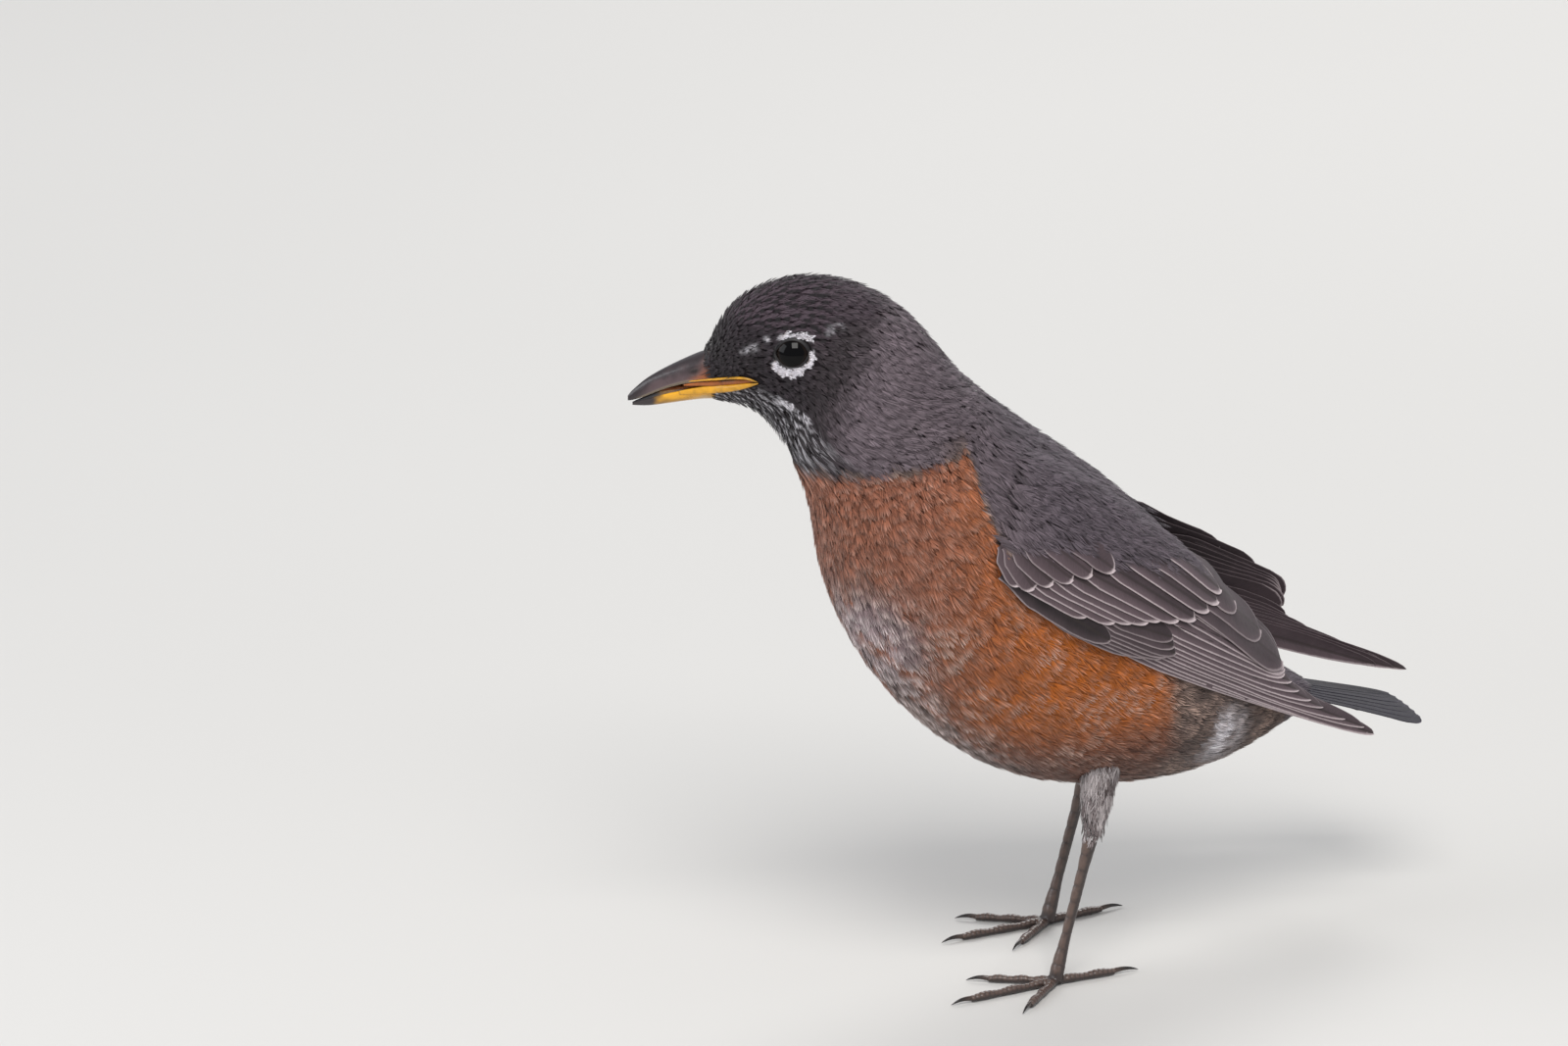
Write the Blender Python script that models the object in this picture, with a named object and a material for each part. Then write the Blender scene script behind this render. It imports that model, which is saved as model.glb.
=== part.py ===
"""American robin, a still life-size model: one named object for each part of the bird.

The bird faces -X with its left side towards -Y and +Z up. The origin is on the floor, under the middle of
the bird's bounds. The plumage counts as part of each solid, so the solids show the feathered outline.
"""

import math

import bmesh
import bpy
from mathutils import Matrix, Vector
from mathutils.bvhtree import BVHTree

MM = 0.001
GAP = 0.3 * MM
UP = Vector((0.0, 0.0, 1.0))
LEFT, RIGHT = -1.0, 1.0

# Body stations in mm, from the bill's base to the root of the tail, as they lie in the bird's middle plane
# before its head is turned: a place on the top line (x, z), one on the under line (x, z) and half the width.
BODY_MM = (
    (-69.2, 146.2, -69.2, 135.2, 4.4),  # face at the bill
    (-66.0, 154.0, -63.2, 134.2, 7.4),  # forehead
    (-60.8, 159.2, -58.6, 132.4, 9.0),  # brow
    (-53.0, 162.2, -55.6, 129.2, 10.0),  # eyes
    (-44.4, 162.8, -52.6, 125.2, 11.9),  # crown
    (-35.6, 160.6, -50.4, 120.8, 14.2),  # hind head
    (-28.0, 156.2, -48.6, 115.6, 16.4),  # nape
    (-21.8, 150.0, -46.8, 109.8, 19.0),  # neck
    (-16.4, 142.6, -45.0, 103.6, 21.6),  # foot of the neck
    (-6.4, 133.0, -40.8, 88.6, 26.0),  # shoulders
    (7.6, 122.2, -32.6, 72.6, 28.4),  # breast
    (22.0, 111.2, -17.4, 55.6, 29.2),  # deep breast
    (36.0, 98.0, 2.6, 43.4, 28.2),  # belly
    (47.6, 84.8, 27.0, 38.6, 24.6),  # flanks
    (57.0, 72.6, 46.4, 38.8, 18.6),  # vent
    (65.0, 63.0, 61.0, 42.2, 12.8),  # tail coverts
    (71.0, 57.4, 70.6, 46.0, 9.6),  # root of the tail
    (76.0, 54.6, 76.0, 48.0, 8.0),  # last coverts
)
RING_POINTS = 32
RINGS_PER_STATION = 2
ROUNDNESS = 0.94  # 1 is an ellipse, less is squarer
HEAD_END, NECK_END = 5.0, 8.0  # stations where the head and the neck end
CUT = 0.03  # half the cut between two pieces, in stations
HEAD_TURN = math.radians(30.0)  # to the bird's right
TURN_FULL, TURN_NONE = 5.0, 9.0  # stations between which the neck takes up the turn
TURN_AXIS_X = -31.3 * MM

# Bill stations in mm, tip first: x, top, bottom, half the width.
UPPER_BILL_MM = (
    (-86.2, 135.6, 134.7, 0.35),
    (-84.8, 137.3, 134.9, 0.85),
    (-82.3, 139.5, 136.2, 1.45),
    (-78.1, 141.9, 138.4, 2.3),
    (-73.8, 144.0, 140.2, 3.3),
    (-69.5, 146.0, 140.6, 4.2),
)
LOWER_BILL_MM = (
    (-85.2, 134.2, 133.5, 0.35),
    (-82.0, 135.2, 133.5, 1.25),
    (-78.0, 136.5, 134.1, 2.1),
    (-73.8, 137.5, 134.8, 3.1),
    (-69.5, 138.1, 135.4, 4.0),
)
BILL_POINTS = 14

EYE_RADIUS = 4.8 * MM
EYE_AT = (-50.1 * MM, 7.3 * MM, 147.0 * MM)  # before the head is turned, y outward from the middle

# Wing stations in mm: the lower edge (x, y, z) and the upper edge (x, y, z), y outward from the middle.
# The near wing hangs a little and the far one is held level and further back.
LEFT_WING_MM = (
    ((-19.0, 22.0, 99.0), (-20.0, 14.0, 121.0)),
    ((-9.3, 24.0, 90.5), (-8.0, 14.0, 119.5)),
    ((0.5, 25.0, 84.0), (4.0, 14.0, 114.8)),
    ((10.4, 25.0, 77.9), (15.0, 14.0, 108.4)),
    ((20.8, 25.0, 72.8), (26.0, 14.0, 101.4)),
    ((31.8, 25.0, 67.4), (36.0, 12.0, 93.4)),
    ((42.7, 24.0, 62.5), (47.0, 11.0, 82.4)),
    ((54.3, 21.5, 57.8), (57.2, 11.0, 73.4)),
    ((61.0, 20.0, 55.0), (63.4, 12.4, 64.4)),
    ((67.5, 18.8, 52.2), (69.0, 14.8, 56.8)),
    ((77.4, 17.2, 46.8), (78.2, 16.2, 50.4)),
    ((85.4, 16.1, 42.8), (86.2, 15.7, 45.4)),
)
RIGHT_WING_MM = (
    ((-17.0, 22.0, 97.0), (-18.0, 14.0, 120.0)),
    ((-6.0, 24.0, 89.5), (-4.0, 14.0, 118.4)),
    ((5.0, 25.0, 84.0), (10.0, 14.0, 113.8)),
    ((16.0, 25.0, 79.6), (22.0, 13.0, 107.4)),
    ((27.0, 25.0, 75.4), (34.0, 11.0, 100.6)),
    ((38.0, 24.5, 71.2), (45.0, 10.5, 92.8)),
    ((50.0, 22.0, 66.8), (56.0, 11.5, 84.8)),
    ((61.0, 18.8, 62.4), (67.0, 13.0, 78.0)),
    ((70.0, 16.4, 59.0), (77.0, 14.0, 72.0)),
    ((78.0, 14.6, 56.0), (84.6, 13.2, 63.4)),
    ((91.0, 11.4, 52.2), (94.4, 10.8, 56.6)),
    ((106.8, 7.1, 47.4), (107.8, 6.7, 50.0)),
)
WING_ROWS, WING_COLUMNS = 8, 36
WING_BULGE = 2.6 * MM
WING_LIFT = 2.3 * MM  # of the wing's outer face over the body
WING_FRONT_LIFT = 1.1 * MM
WING_THICK = 1.6 * MM  # at the shoulder
WING_THIN = 0.8 * MM  # at the tip
WING_PARTS = (("coverts", 0.0, 0.42), ("secondaries", 0.42, 0.72), ("primaries", 0.72, 1.0))
WING_CUT = 0.002  # half the cut between two parts of a wing, along it

# Tail: from its root to its tip, which is swung to the bird's right.
TAIL_ROOT = Vector((77.0, 0.6, 51.0)) * MM
TAIL_TIP = Vector((101.0, 4.4, 44.2)) * MM
TAIL_WIDTHS = (21.0 * MM, 32.5 * MM)
TAIL_THICKS = (3.0 * MM, 1.2 * MM)
TAIL_ARCH = 1.6 * MM

# Legs in mm: the ankle, the ball of the foot on the floor and a point on the line up into the thigh.
TIBIA_TOP_RADIUS, TIBIA_END_RADIUS = 4.6 * MM, 2.7 * MM
TARSUS_RADIUS = 1.35 * MM
LEGS_MM = {
    "left": ((12.0, -17.0, 33.2), (3.0, -17.6, 0.0), (16.0, -15.5, 50.0)),
    "right": ((31.0, 16.0, 33.2), (21.6, 17.0, 0.0), (33.0, 13.5, 50.0)),
}
# Toes: name, bearing from straight ahead (outward is positive), length, claw's length.
TOES = (
    ("inner", -36.0, 12.5 * MM, 5.2 * MM),
    ("middle", 1.0, 19.0 * MM, 6.2 * MM),
    ("outer", 38.0, 13.5 * MM, 5.0 * MM),
    ("hind", 176.0, 11.0 * MM, 7.4 * MM),
)
BALL_RADIUS = 2.1 * MM
TOE_RADIUS, TOE_END_RADIUS = 1.35 * MM, 0.95 * MM
CLAW_RADIUS, CLAW_TIP_RADIUS = 0.75 * MM, 0.2 * MM

MATERIALS = {
    "head_plumage": ((0.055, 0.045, 0.048), 0.85),
    "breast_plumage": ((0.36, 0.12, 0.035), 0.85),
    "wing_feather": ((0.11, 0.09, 0.09), 0.7),
    "tail_feather": ((0.06, 0.058, 0.08), 0.65),
    "leg_plumage": ((0.42, 0.4, 0.39), 0.85),
    "bill_horn": ((0.05, 0.035, 0.035), 0.35),
    "eye_lens": ((0.006, 0.005, 0.005), 0.06),
    "foot_scale": ((0.055, 0.038, 0.034), 0.45),
    "claw_horn": ((0.02, 0.016, 0.015), 0.35),
}


def clear_scene():
    """Remove the objects that the scene starts with."""
    for item in list(bpy.data.objects):
        bpy.data.objects.remove(item, do_unlink=True)


def material(name):
    """The named Principled material, made once."""
    found = bpy.data.materials.get(name)
    if found:
        return found
    colour, roughness = MATERIALS[name]
    made = bpy.data.materials.new(name)
    made.use_nodes = True
    shader = made.node_tree.nodes["Principled BSDF"]
    shader.inputs["Base Color"].default_value = (*colour, 1.0)
    shader.inputs["Roughness"].default_value = roughness
    shader.inputs["Metallic"].default_value = 0.0
    return made


def add_object(name, bm, look):
    """An object of this bmesh, with its faces turned outward and shaded smooth."""
    bmesh.ops.recalc_face_normals(bm, faces=bm.faces)
    mesh = bpy.data.meshes.new(name)
    bm.to_mesh(mesh)
    bm.free()
    mesh.shade_smooth()
    mesh.set_sharp_from_angle(angle=math.radians(50.0))
    mesh.materials.append(material(look))
    made = bpy.data.objects.new(name, mesh)
    bpy.context.collection.objects.link(made)
    return made


def loft(rings):
    """A closed bmesh through rings of the same number of points, with flat ends."""
    bm = bmesh.new()
    loops = [[bm.verts.new(point) for point in ring] for ring in rings]
    for before, after in zip(loops, loops[1:]):
        for i in range(len(before)):
            j = (i + 1) % len(before)
            bm.faces.new((before[i], before[j], after[j], after[i]))
    bm.faces.new(loops[0])
    bm.faces.new(loops[-1])
    return bm


def spline(rows, place):
    """The row of numbers at this place along a smooth curve through the given rows."""
    last = len(rows) - 1
    place = min(max(place, 0.0), float(last))
    i = min(int(place), last - 1)
    f = place - i
    a, b = rows[max(i - 1, 0)], rows[i]
    c, d = rows[i + 1], rows[min(i + 2, last)]
    out = []
    for p, q, r, s in zip(a, b, c, d):
        bend = (2 * p - 5 * q + 4 * r - s) * f + (3 * q - p - 3 * r + s) * f * f
        out.append(q + 0.5 * f * (r - p + bend))
    return out


def smoothstep(value):
    """0 to 1 with soft ends."""
    value = min(max(value, 0.0), 1.0)
    return value * value * (3.0 - 2.0 * value)


def head_turn(point, share=1.0):
    """The point after this share of the head's turn to the bird's right."""
    centre = Vector((TURN_AXIS_X, 0.0, 0.0))
    return Matrix.Rotation(-HEAD_TURN * share, 3, "Z") @ (point - centre) + centre


def body_ring(place, extra=0.0):
    """The ring of points round the body at this station, with extra metres all round."""
    top_x, top_z, under_x, under_z, half = (value * MM for value in spline(BODY_MM, place))
    top, under = Vector((top_x, 0.0, top_z)), Vector((under_x, 0.0, under_z))
    middle, reach = (top + under) / 2, (top - under) / 2
    reach *= 1.0 + extra / reach.length
    half += extra
    share = 1.0 - smoothstep((place - TURN_FULL) / (TURN_NONE - TURN_FULL))
    ring = []
    for i in range(RING_POINTS):
        angle = 2 * math.pi * i / RING_POINTS
        side = math.copysign(abs(math.sin(angle)) ** ROUNDNESS, math.sin(angle))
        point = middle + reach * math.cos(angle) + Vector((0.0, half * side, 0.0))
        ring.append(head_turn(point, share))
    return ring


def body_rings(start, end, extra=0.0):
    """Rings from one station to another."""
    steps = max(2, round((end - start) * RINGS_PER_STATION))
    return [body_ring(start + (end - start) * i / steps, extra) for i in range(steps + 1)]


def cutter(name, bm):
    """A hidden cutting tool."""
    made = add_object(name, bm, "head_plumage")
    made.hide_render = True
    made.display_type = "WIRE"
    return made


def cut(piece, tool):
    """Cut the tool's shape out of the piece."""
    step = piece.modifiers.new("cut " + tool.name, "BOOLEAN")
    step.operation = "DIFFERENCE"
    step.solver = "EXACT"
    step.object = tool


def ball(radius, centre, rings=8):
    """A closed sphere."""
    bm = bmesh.new()
    place = Matrix.Translation(centre)
    bmesh.ops.create_uvsphere(bm, u_segments=2 * rings, v_segments=rings, radius=radius, matrix=place)
    return bm


def eye_centre(side):
    """The middle of the eyeball on this side of the turned head."""
    x, out, z = EYE_AT
    return head_turn(Vector((x, side * out, z)))


def make_body():
    """Head, neck and trunk, with the eyes in the head."""
    head = add_object("head", loft(body_rings(0.0, HEAD_END - CUT)), "head_plumage")
    add_object("neck", loft(body_rings(HEAD_END + CUT, NECK_END - CUT)), "head_plumage")
    add_object("trunk", loft(body_rings(NECK_END + CUT, len(BODY_MM) - 1.0)), "breast_plumage")
    for name, side in (("left", LEFT), ("right", RIGHT)):
        add_object("eye_" + name, ball(EYE_RADIUS, eye_centre(side)), "eye_lens")
        cut(head, cutter("socket_" + name, ball(EYE_RADIUS + GAP, eye_centre(side))))


def bill_rings(rows, arch):
    """Rings of one half of the bill: round on the outer side, nearly flat on the inner one."""
    rings = []
    for step in range(2 * len(rows) - 1):
        x, top, bottom, half = (value * MM for value in spline(rows, step / 2))
        ring = []
        for i in range(BILL_POINTS):
            angle = 2 * math.pi * i / BILL_POINTS
            rise = math.cos(angle) * arch
            height = rise if rise > 0 else 0.35 * rise
            z = bottom + (top - bottom) * (height + 0.35) / 1.35
            if arch < 0:
                z = top - (top - bottom) * (height + 0.35) / 1.35
            ring.append(head_turn(Vector((x, half * math.sin(angle), z))))
        rings.append(ring)
    return rings


def make_bill():
    """The two halves of the bill, slightly parted."""
    add_object("bill_upper", loft(bill_rings(UPPER_BILL_MM, 1.0)), "bill_horn")
    add_object("bill_lower", loft(bill_rings(LOWER_BILL_MM, -1.0)), "bill_horn")


def wing_point(rows, side, along, across):
    """A place on the wing's outer face before it is lifted clear of the body."""
    low, high = (Vector(spline([row[end] for row in rows], along * (len(rows) - 1))) for end in (0, 1))
    point = low.lerp(high, across) * MM
    point.y += WING_BULGE * 4 * across * (1 - across) * (1 - 0.7 * along)
    point.y *= side
    return point


def lifted(point, body, clear):
    """The point, moved straight out from the body until it is clear of it."""
    spot, normal, _, _ = body.find_nearest(point)
    height = (point - spot).dot(normal)
    return point if height >= clear else spot + normal * clear


def wing_faces(rows, side, start, end, body):
    """Grids of the outer and the inner face of one stretch of a wing."""
    columns = max(3, round((end - start) * WING_COLUMNS))
    outer, inner = [], []
    for i in range(columns + 1):
        along = start + (end - start) * i / columns
        thick = WING_THICK + (WING_THIN - WING_THICK) * along
        lift = WING_FRONT_LIFT + (WING_LIFT - WING_FRONT_LIFT) * smoothstep(along * 6.0)
        line, under = [], []
        for j in range(WING_ROWS + 1):
            across = j / WING_ROWS
            edge = 0.7 if j in (0, WING_ROWS) else 1.0
            point = lifted(wing_point(rows, side, along, across), body, lift * edge)
            near = wing_point(rows, side, min(along + 0.01, 1.0), across)
            back = wing_point(rows, side, max(along - 0.01, 0.0), across)
            reach = 0.05 + 0.95 * smoothstep(along * 5.0 - 3.6)
            above = wing_point(rows, side, along, min(across + reach, 1.0))
            below = wing_point(rows, side, along, max(across - reach, 0.0))
            normal = (near - back).cross(above - below).normalized() * -side
            spot, up, _, _ = body.find_nearest(point)
            share = smoothstep(2.0 - (point - spot).length / (1.5 * WING_LIFT))
            normal = normal.lerp(up, share).normalized()
            line.append(point)
            under.append(lifted(point - normal * thick * edge, body, GAP + 0.15 * MM))
        outer.append(line)
        inner.append(under)
    return outer, inner


def slab(outer, inner):
    """A closed bmesh between two grids of points."""
    bm = bmesh.new()
    faces = [[[bm.verts.new(point) for point in line] for line in grid] for grid in (outer, inner)]
    for grid in faces:
        for before, after in zip(grid, grid[1:]):
            for j in range(len(before) - 1):
                bm.faces.new((before[j], before[j + 1], after[j + 1], after[j]))
    rims = []
    for grid in faces:
        rim = [line[0] for line in grid] + grid[-1][1:]
        rim += [line[-1] for line in reversed(grid[:-1])] + list(reversed(grid[0][1:-1]))
        rims.append(rim)
    for i in range(len(rims[0])):
        j = (i + 1) % len(rims[0])
        bm.faces.new((rims[0][i], rims[0][j], rims[1][j], rims[1][i]))
    return bm


def make_wings():
    """Both folded wings, each in three parts that lie against the trunk."""
    trunk = bmesh.new()
    trunk.from_mesh(bpy.data.objects["trunk"].data)
    body = BVHTree.FromBMesh(trunk)
    trunk.free()
    for name, side, rows in (("left", LEFT, LEFT_WING_MM), ("right", RIGHT, RIGHT_WING_MM)):
        for part, start, end in WING_PARTS:
            first = start + (WING_CUT if start > 0.0 else 0.0)
            last = end - (WING_CUT if end < 1.0 else 0.0)
            outer, inner = wing_faces(rows, side, first, last, body)
            add_object("wing_" + name + "_" + part, slab(outer, inner), "wing_feather")


def make_tail():
    """The folded tail, a thin fan that widens to its square tip."""
    along = (TAIL_TIP - TAIL_ROOT).normalized()
    across = UP.cross(along).normalized()
    over = along.cross(across).normalized()
    rings = []
    for i in range(7):
        place = i / 6
        half = (TAIL_WIDTHS[0] + (TAIL_WIDTHS[1] - TAIL_WIDTHS[0]) * math.sqrt(place)) / 2
        thick = TAIL_THICKS[0] + (TAIL_THICKS[1] - TAIL_THICKS[0]) * place
        centre = TAIL_ROOT.lerp(TAIL_TIP, place)
        broad = Vector((0.0, 1.0, 0.0)).lerp(across, place).normalized()
        upper, lower = [], []
        for j in range(9):
            share = j / 4 - 1.0
            drop = TAIL_ARCH * (1 - share * share) - TAIL_ARCH
            edge = thick * (0.5 if abs(share) < 1 else 0.3)
            point = centre + broad * half * share + over * drop
            upper.append(point + over * edge)
            lower.append(point - over * edge)
        rings.append(upper + lower[::-1])
    add_object("tail", loft(rings), "tail_feather")


def tube(path, radii, points, flat=None):
    """Rings of a round tube along a path, squashed onto the floor where flat is its level."""
    rings = []
    for i, (centre, radius) in enumerate(zip(path, radii)):
        before, after = path[max(i - 1, 0)], path[min(i + 1, len(path) - 1)]
        along = (after - before).normalized()
        side = along.cross(UP if abs(along.z) < 0.9 else Vector((1.0, 0.0, 0.0))).normalized()
        over = side.cross(along)
        ring = []
        for j in range(points):
            angle = 2 * math.pi * (j + 0.5) / points
            point = centre + (side * math.cos(angle) + over * math.sin(angle)) * radius
            if flat is not None:
                point.z = max(point.z, flat)
            ring.append(point)
        rings.append(ring)
    return rings


def make_tibia(name, ankle, knee, body):
    """The feathered lower thigh, from the belly down to the ankle."""
    axis = (knee - ankle).normalized()
    side = axis.cross(Vector((1.0, 0.0, 0.0))).normalized()
    front = side.cross(axis)
    rings = []
    for i in range(8):
        share = i / 7
        radius = TIBIA_END_RADIUS + (TIBIA_TOP_RADIUS - TIBIA_END_RADIUS) * share ** 0.8
        if i == 0:
            radius *= 0.7
        ring = []
        for j in range(14):
            angle = 2 * math.pi * j / 14
            foot = ankle + (side * math.cos(angle) + front * math.sin(angle)) * radius
            spot, _, _, _ = body.ray_cast(foot, axis)
            length = (spot - foot).length - 2 * GAP
            ring.append(foot + axis * (GAP + (length - GAP) * share))
        rings.append(ring)
    add_object("leg_" + name + "_tibia", loft(rings), "leg_plumage")


def make_tarsus(name, ankle, foot):
    """The bare shank, from the ankle down to the ball of the foot on the floor."""
    axis = (ankle - foot).normalized()
    top = ankle - axis * GAP
    path = [foot.copy(), foot + UP * 0.9 * MM, foot + axis * 3.4 * MM, foot + axis * 6.0 * MM]
    path += [foot.lerp(top, share) for share in (0.5, 0.82, 0.94, 1.0)]
    radii = [1.7 * MM, BALL_RADIUS, 1.75 * MM, TARSUS_RADIUS]
    radii += [TARSUS_RADIUS * 0.95, TARSUS_RADIUS * 1.05, 1.75 * MM, 1.3 * MM]
    rings = []
    for i, (centre, radius) in enumerate(zip(path, radii)):
        lean = UP if i < 2 else axis
        side = lean.cross(Vector((1.0, 0.0, 0.0))).normalized()
        front = side.cross(lean)
        turns = [2 * math.pi * j / 12 for j in range(12)]
        rings.append([centre + (side * math.cos(a) + front * math.sin(a) * 1.12) * radius for a in turns])
    add_object("leg_" + name + "_tarsus", loft(rings), "foot_scale")


def make_toes(name, side, foot):
    """Three toes ahead and one behind, flat on the floor, each with its claw."""
    for toe, bearing, length, claw in TOES:
        angle = math.radians(bearing) * side
        ahead = Vector((-math.cos(angle), math.sin(angle), 0.0))
        start = BALL_RADIUS * 1.12 + GAP
        path, radii = [], []
        for i in range(9):
            share = i / 8
            radius = TOE_RADIUS + (TOE_END_RADIUS - TOE_RADIUS) * share
            radius *= min(1.0, 0.5 + 0.3 * i, 0.75 + 0.25 * (8 - i))
            path.append(foot + ahead * (start + length * share) + UP * 0.78 * radius)
            radii.append(radius)
        add_object("toe_" + name + "_" + toe, loft(tube(path, radii, 10, 0.0)), "foot_scale")
        base = foot + ahead * (start + length + GAP) + UP * 1.05 * MM
        bend, tips = [], []
        for i in range(5):
            share = i / 4
            swing = math.radians(80.0) * share - math.radians(24.0)
            rise = claw * 0.5 * (math.cos(swing) - math.cos(math.radians(24.0)))
            bend.append(base + ahead * claw * 0.78 * share + UP * rise)
            tips.append(CLAW_RADIUS + (CLAW_TIP_RADIUS - CLAW_RADIUS) * share)
        add_object("claw_" + name + "_" + toe, loft(tube(bend, tips, 6, 0.1 * MM)), "claw_horn")


def make_legs():
    """Both legs, down to the claws."""
    trunk = bmesh.new()
    trunk.from_mesh(bpy.data.objects["trunk"].data)
    body = BVHTree.FromBMesh(trunk)
    trunk.free()
    for name, places in LEGS_MM.items():
        ankle, foot, knee = (Vector(place) * MM for place in places)
        side = LEFT if name == "left" else RIGHT
        make_tibia(name, ankle, knee, body)
        make_tarsus(name, ankle, foot)
        make_toes(name, side, foot)


def centre_on_floor():
    """Carry every piece on an empty that brings the middle of the bird's bounds over the origin."""
    pieces = list(bpy.data.objects)
    solids = [piece for piece in pieces if not piece.hide_render]
    points = [vertex.co for solid in solids for vertex in solid.data.vertices]
    lows = [min(point[i] for point in points) for i in range(2)]
    highs = [max(point[i] for point in points) for i in range(2)]
    carrier = bpy.data.objects.new("american_robin", None)
    bpy.context.collection.objects.link(carrier)
    carrier.location = (-(lows[0] + highs[0]) / 2, -(lows[1] + highs[1]) / 2, 0.0)
    for piece in pieces:
        piece.parent = carrier


def main():
    """Build the bird."""
    clear_scene()
    make_body()
    make_bill()
    make_tail()
    make_wings()
    make_legs()
    centre_on_floor()


main()
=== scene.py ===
"""American robin, a still life-size model: the plumage, bill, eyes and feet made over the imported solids.

The file is laid out as a Blender add-on and runs as a script. Numbers inside it are millimetres unless a
name says otherwise, the bird faces -X with its left side towards -Y, and +Z is up.
"""

import functools
import math

import bmesh
import bpy
import numpy as np
from bpy.props import FloatProperty, FloatVectorProperty, PointerProperty
from mathutils import Matrix, Vector
from mathutils.bvhtree import BVHTree


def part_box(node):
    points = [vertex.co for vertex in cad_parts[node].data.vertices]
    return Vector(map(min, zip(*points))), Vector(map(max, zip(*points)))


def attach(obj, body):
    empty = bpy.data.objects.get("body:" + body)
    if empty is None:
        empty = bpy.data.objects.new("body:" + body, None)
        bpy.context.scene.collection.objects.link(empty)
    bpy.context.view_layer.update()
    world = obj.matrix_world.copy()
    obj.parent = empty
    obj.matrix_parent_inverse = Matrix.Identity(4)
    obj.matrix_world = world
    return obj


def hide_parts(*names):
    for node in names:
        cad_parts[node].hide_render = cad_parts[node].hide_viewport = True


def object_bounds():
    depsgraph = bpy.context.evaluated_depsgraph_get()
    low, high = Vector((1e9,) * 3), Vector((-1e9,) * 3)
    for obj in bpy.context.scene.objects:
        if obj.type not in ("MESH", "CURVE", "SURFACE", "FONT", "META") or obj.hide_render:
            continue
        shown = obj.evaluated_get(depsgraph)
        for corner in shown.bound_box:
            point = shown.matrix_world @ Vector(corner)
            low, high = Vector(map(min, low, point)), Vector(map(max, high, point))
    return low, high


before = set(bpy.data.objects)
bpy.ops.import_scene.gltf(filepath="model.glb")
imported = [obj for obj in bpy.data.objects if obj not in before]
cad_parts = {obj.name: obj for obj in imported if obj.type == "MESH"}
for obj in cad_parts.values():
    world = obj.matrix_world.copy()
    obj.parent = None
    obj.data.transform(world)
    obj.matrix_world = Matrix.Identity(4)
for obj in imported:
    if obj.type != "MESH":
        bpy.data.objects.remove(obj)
CAD_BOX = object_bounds()

bl_info = {
    "name": "American Robin",
    "version": (1, 0, 0),
    "blender": (4, 5, 0),
    "location": "3D View > Sidebar > Robin",
    "description": "Builds the plumage, bill, eyes and feet of a life-size robin",
    "category": "Add Mesh",
}

MM = 0.001
WELD = 1e-6  # metres within which a solid's corners are one
SIDES = (("left", 1.0), ("right", -1.0))


# ---- numbers

def unit(vectors):
    """The vectors at a length of 1."""
    return vectors / np.maximum(np.linalg.norm(vectors, axis=-1, keepdims=True), 1e-9)


def ramp(value, start, end):
    """0 before start and 1 past end, with soft ends; end may be the smaller one."""
    share = np.clip((value - start) / (end - start), 0.0, 1.0)
    return share * share * (3.0 - 2.0 * share)


def linear(red, green, blue):
    """A colour given from 0 to 255 as the light values that shaders use."""
    share = np.array((red, green, blue)) / 255.0
    return np.where(share <= 0.04045, share / 12.92, ((share + 0.055) / 1.055) ** 2.4)


def blur(values, cells, axis, closed):
    """The grid softened along one axis by a bell of the given width in cells."""
    reach = int(3 * cells) + 1
    weights = np.exp(-0.5 * (np.arange(-reach, reach + 1) / cells) ** 2)
    weights /= weights.sum()
    padding = [(0, 0)] * values.ndim
    padding[axis] = (reach, reach)
    padded = np.pad(values, padding, mode="wrap" if closed else "edge")
    length = values.shape[axis]
    shifted = [np.take(padded, range(i, i + length), axis) * weight for i, weight in enumerate(weights)]
    return sum(shifted)


LATTICE_CELLS = 32
LATTICE = np.random.default_rng(11).random((LATTICE_CELLS,) * 3)


def noise(points, size):
    """Soft random values from 0 to 1, in patches of about the given size."""
    scaled = np.asarray(points) / size
    cell = np.floor(scaled).astype(int)
    share = scaled - cell
    share = share * share * (3.0 - 2.0 * share)
    total = 0.0
    for corner in np.ndindex(2, 2, 2):
        index = (cell + corner) % LATTICE_CELLS
        weight = np.prod(np.where(corner, share, 1.0 - share), axis=-1)
        total = total + LATTICE[index[..., 0], index[..., 1], index[..., 2]] * weight
    return total


def mixed_number(low, high, share):
    """Numbers that lie this share of the way from low to high."""
    return low * (1.0 - share) + high * share


def mixed(low, high, share):
    """Colours mixed by a share for each place."""
    return mixed_number(low, high, np.asarray(share)[..., None])


def turns(count):
    """Angles spread evenly round a circle."""
    return np.arange(count) * 2 * math.pi / count


# Seeds of the random draws, and barbs of each soft feather
SEEDS = {
    "body roots": 7, "arc roots": 61, "mantle roots": 19, "head": 3, "arcs": 4, "neck": 3, "left side": 3,
    "right side": 4, "mantle": 5, "left wing": 31, "right wing": 37, "tail": 41, "bristles": 67, "thigh": 53,
}
BARBS = {"head": 26, "arcs": 6, "neck": 34, "breast": 42, "belly": 36, "mantle": 38, "thigh": 16}


def draws(name):
    """The random draws of one part of the bird, the same on each run."""
    return np.random.default_rng(SEEDS[name])


# ---- settings

def colour_setting(name, description, red, green, blue):
    """A colour that the panel shows, given from 0 to 255."""
    return FloatVectorProperty(name=name, description=description, subtype="COLOR", size=3, min=0.0, max=1.0,
                               default=tuple(linear(red, green, blue)))


def size_setting(name, description, millimetres):
    """A length that the panel shows."""
    return FloatProperty(name=name, description=description, unit="LENGTH", subtype="DISTANCE",
                         default=millimetres * MM, min=0.0, soft_max=0.02, precision=5)


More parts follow.
